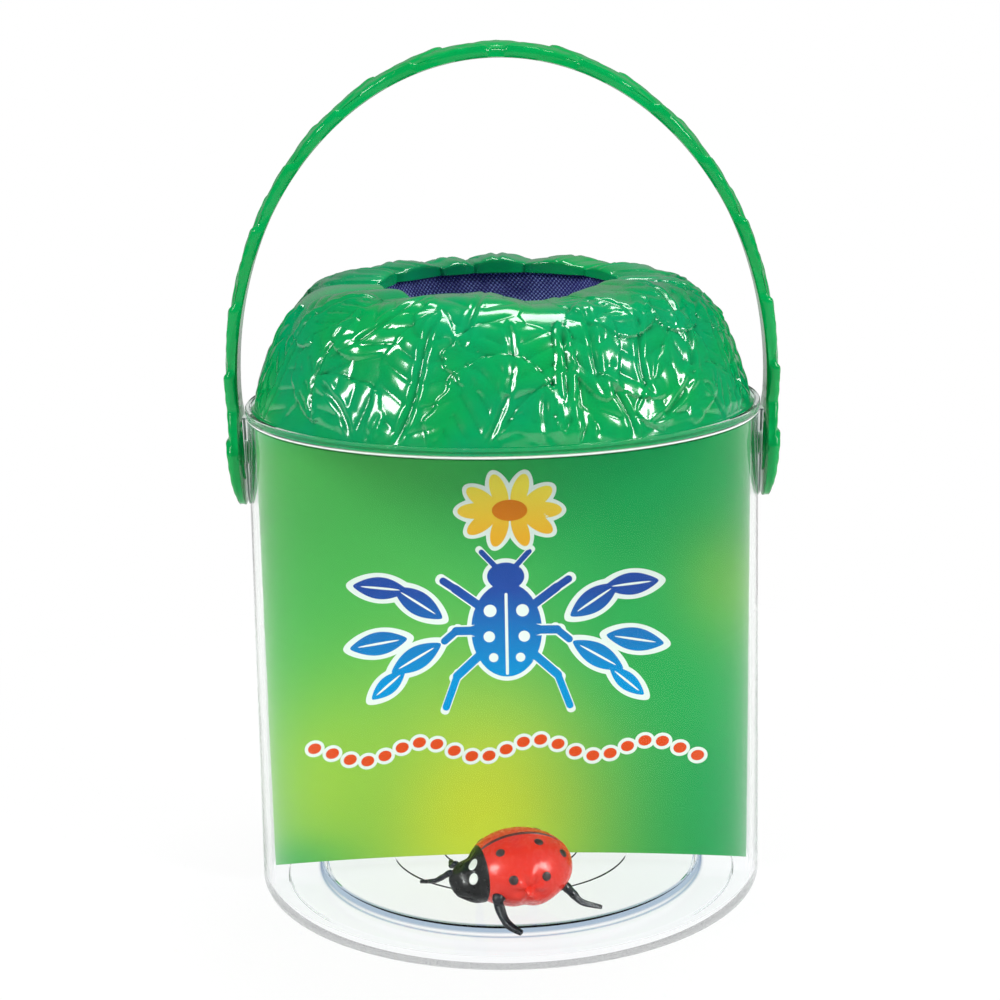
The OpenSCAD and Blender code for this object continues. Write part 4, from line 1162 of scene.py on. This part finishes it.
def on_head(points, out):
    """Points moved onto the head, and off it by out."""
    return head_surface(unit(points - HEAD_HUB), out)


def egg_place(direction, middle, size):
    """Point on an egg shape and the way out of it there."""
    p = sphere_point(direction)
    return middle + p * size, unit(p / size)


def bug_limb(name, node, limb, middle, size, side=1, r=LEG_R):
    """A limb that swells out of the rubber at its root and ends in a thin ribbed foot; side -1 mirrors it."""
    (turn, rise), shares = limb
    place, way = egg_place((side * turn, rise), middle, size)
    root = leaning(np.array([place - 0.6 * MM * way, place + 0.3 * MM * way]))
    line = spline(np.concatenate([root, np.array(shares) * (1, side, 1) * BUG_SIZE]), 12)
    t = np.linspace(0, 1, len(line))
    radii = r * np.interp(t, [0, 0.12, 0.25, 0.5, 0.75, 0.92, 1], [1.25, 1.05, 0.95, 0.85, 0.62, 0.56, 0.4])
    sides = 32
    points, faces = sweep(line, radii, sides, squash=0.8)
    skin = points[:-2].reshape(len(line), sides, 3) - line[:, None]
    ribs = 0.13 * smooth((t - 0.5) / 0.2)[:, None] * np.cos(4 * full_turn(sides))
    ribs += 0.05 * np.sin(26 * t)[:, None]
    points[:-2] = (line[:, None] + skin * (1 + ribs)[..., None]).reshape(-1, 3)
    obj = new_object(name, bug_world(points), faces, LIMB_BLACK, "ladybird", angle=60)
    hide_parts(node)


def make_nub():
    """The moulding nub: a small pinched tab that leans down."""
    place, way = egg_place(NUB, BUG_MIDDLE, BUG_SIZE)
    down = np.array([0.25, 0.0, -1.0])
    line = spline([place + out * MM * way + drop * MM * down
                   for out, drop in ((-1.0, 0), (0.2, 0.2), (1.0, 0.5), (1.55, 1.0))], 8)
    radii = np.interp(np.linspace(0, 1, len(line)), [0, 0.4, 0.75, 1], [1.7, 1.25, 0.95, 0.45]) * MM
    points, faces = sweep(leaning(line), radii, 28, squash=0.6)
    obj = new_object("ladybird_tab", bug_world(points), faces, RED, "ladybird", angle=60)
    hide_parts("ladybird_nub")


def make_ladybird():
    make_bug_body()
    make_bug_head()
    body, head = (BUG_MIDDLE, BUG_SIZE), (HEAD_MIDDLE, HEAD_SIZE)
    printed_ovals("ladybird_dots", [egg_place(d, *body) for d in SPOTS], on_body, (SPOT_R, SPOT_R),
                  BLACK_INK, "ladybird_spots")
    printed_ovals("ladybird_eye_ovals", [egg_place(d, *head) for d in EYES], on_head, EYE_RADII,
                  WHITE_INK, "ladybird_eyes")
    for name, limb, side in (("front_left", FRONT_LEG, 1), ("front_right", FRONT_LEG, -1),
                             ("rear_left", REAR_LEG_LEFT, 1), ("rear_right", REAR_LEG_RIGHT, 1)):
        bug_limb("ladybird_limb_" + name, "ladybird_leg_" + name, limb, *body, side)
    for name, limb in (("left", FEELER_LEFT), ("right", FEELER_RIGHT)):
        bug_limb("ladybird_horn_" + name, "ladybird_feeler_" + name, limb, *head, r=FEELER_R)
    make_nub()


# Camera, floor and light

SOFT_LIGHT = 0.45
GLOSS_FRONT = 0.06
GLOSS_BACK = 0.28
FLOOR_WHITE = 0.9
FLOOR_HALF = 3.0
LAMP_AIM = Vector((0, 0, 0.13))
CAMERA_PLACE = Vector((0.0, -0.6000, 0.2545))
CAMERA_PITCH = 0.2283
CAMERA_YAW = -0.0021
CAMERA_ROLL = -0.0189
FOCAL_PIXELS = 2083.4
PHOTO_PIXELS = 1000
SENSOR_MM = 36.0


def make_camera():
    data = bpy.data.cameras.new("photo_camera")
    data.sensor_width = SENSOR_MM
    data.lens = FOCAL_PIXELS * SENSOR_MM / PHOTO_PIXELS
    data.clip_start, data.clip_end = 0.01, 20
    camera = add_object("photo_camera", data)
    turn = [Matrix.Rotation(angle, 4, axis) for angle, axis in (
        (-CAMERA_YAW, "Z"), (pi / 2 - CAMERA_PITCH, "X"), (CAMERA_ROLL, "Z"))]
    camera.matrix_world = Matrix.Translation(CAMERA_PLACE) @ turn[0] @ turn[1] @ turn[2]
    bpy.context.scene.camera = camera


def seen_directly(tree):
    """1 for what the camera meets straight or through the clear jar, 0 for other light."""
    return light_path(tree, "Is Camera Ray").op("MAXIMUM", light_path(tree, "Is Transmission Ray"))


def make_floor():
    """White floor: plain white to the eye far from the jar, and with the jar's faint shadow near it."""
    mat, tree, shader = new_material("pale_floor", (0.9, 0.9, 0.9, 1), 0.7)
    far = object_place(tree).into("VectorMath", {}, "Value", operation="LENGTH")
    plain = seen_directly(tree) * far.ramp(0.12, 0.3, FLOOR_WHITE, 1.0)
    white = add_node(tree, "Emission", {"Color": (1, 1, 1, 1), "Strength": 1.0})
    mix_surface(tree, plain, Field(shader.outputs[0]), white)
    mesh = bpy.data.meshes.new("floor")
    corners = [(x * FLOOR_HALF, y * FLOOR_HALF, 0) for x, y in ((-1, -1), (1, -1), (1, 1), (-1, 1))]
    mesh.from_pydata(corners, [], [(0, 1, 2, 3)])
    mesh.materials.append(mat)
    floor = add_object("floor", mesh)


def make_world():
    """Studio light: even for matt surfaces, white to the eye, and for gloss pale behind and dark in front."""
    world = bpy.data.worlds.new("studio")
    world.use_nodes = True
    tree = world.node_tree
    depth = add_node(tree, "TexCoord", output="Generated").split()[1]
    mirrored = depth.ramp(0.6, 0.95, GLOSS_FRONT, GLOSS_BACK)
    unseen = light_path(tree, "Is Glossy Ray").ramp(0.0, 1.0, SOFT_LIGHT, mirrored)
    strength = seen_directly(tree).ramp(0.0, 1.0, unseen, 1.0)
    set_inputs(tree.nodes["Background"], {"Color": (1, 1, 1, 1), "Strength": strength})
    bpy.context.scene.world = world


def add_lamp(name, place, size, power):
    """A rectangular lamp that shines at the jar's middle."""
    data = bpy.data.lights.new(name, "AREA")
    data.shape = "RECTANGLE"
    data.size, data.size_y = size
    data.energy = power
    lamp = add_object(name, data)
    lamp.location = place
    lamp.rotation_mode = "QUATERNION"
    lamp.rotation_quaternion = (LAMP_AIM - Vector(place)).to_track_quat("-Z", "Y")


def paint_node(name, material):
    """Gives a CAD node that stays in view its material."""
    for slot in frame["nodes"][name].material_slots:
        slot.material = material


bpy.context.scene.view_settings.view_transform = "Standard"
make_camera()
make_world()
make_floor()
add_lamp("soft_left", (-0.75, -0.6, 0.7), (0.2, 0.4), 7.0)
add_lamp("soft_right", (0.85, -0.45, 0.6), (0.2, 0.4), 7.0)
add_lamp("soft_top", (0.1, 0.25, 1.1), (0.5, 0.3), 6.0)

make_lid()
make_handle()
make_pivots()
make_jar()
make_sleeve()
make_card()
make_ladybird()
paint_node("sleeve_ring", RING_PLASTIC)
paint_node("sleeve_elastic", ELASTIC)
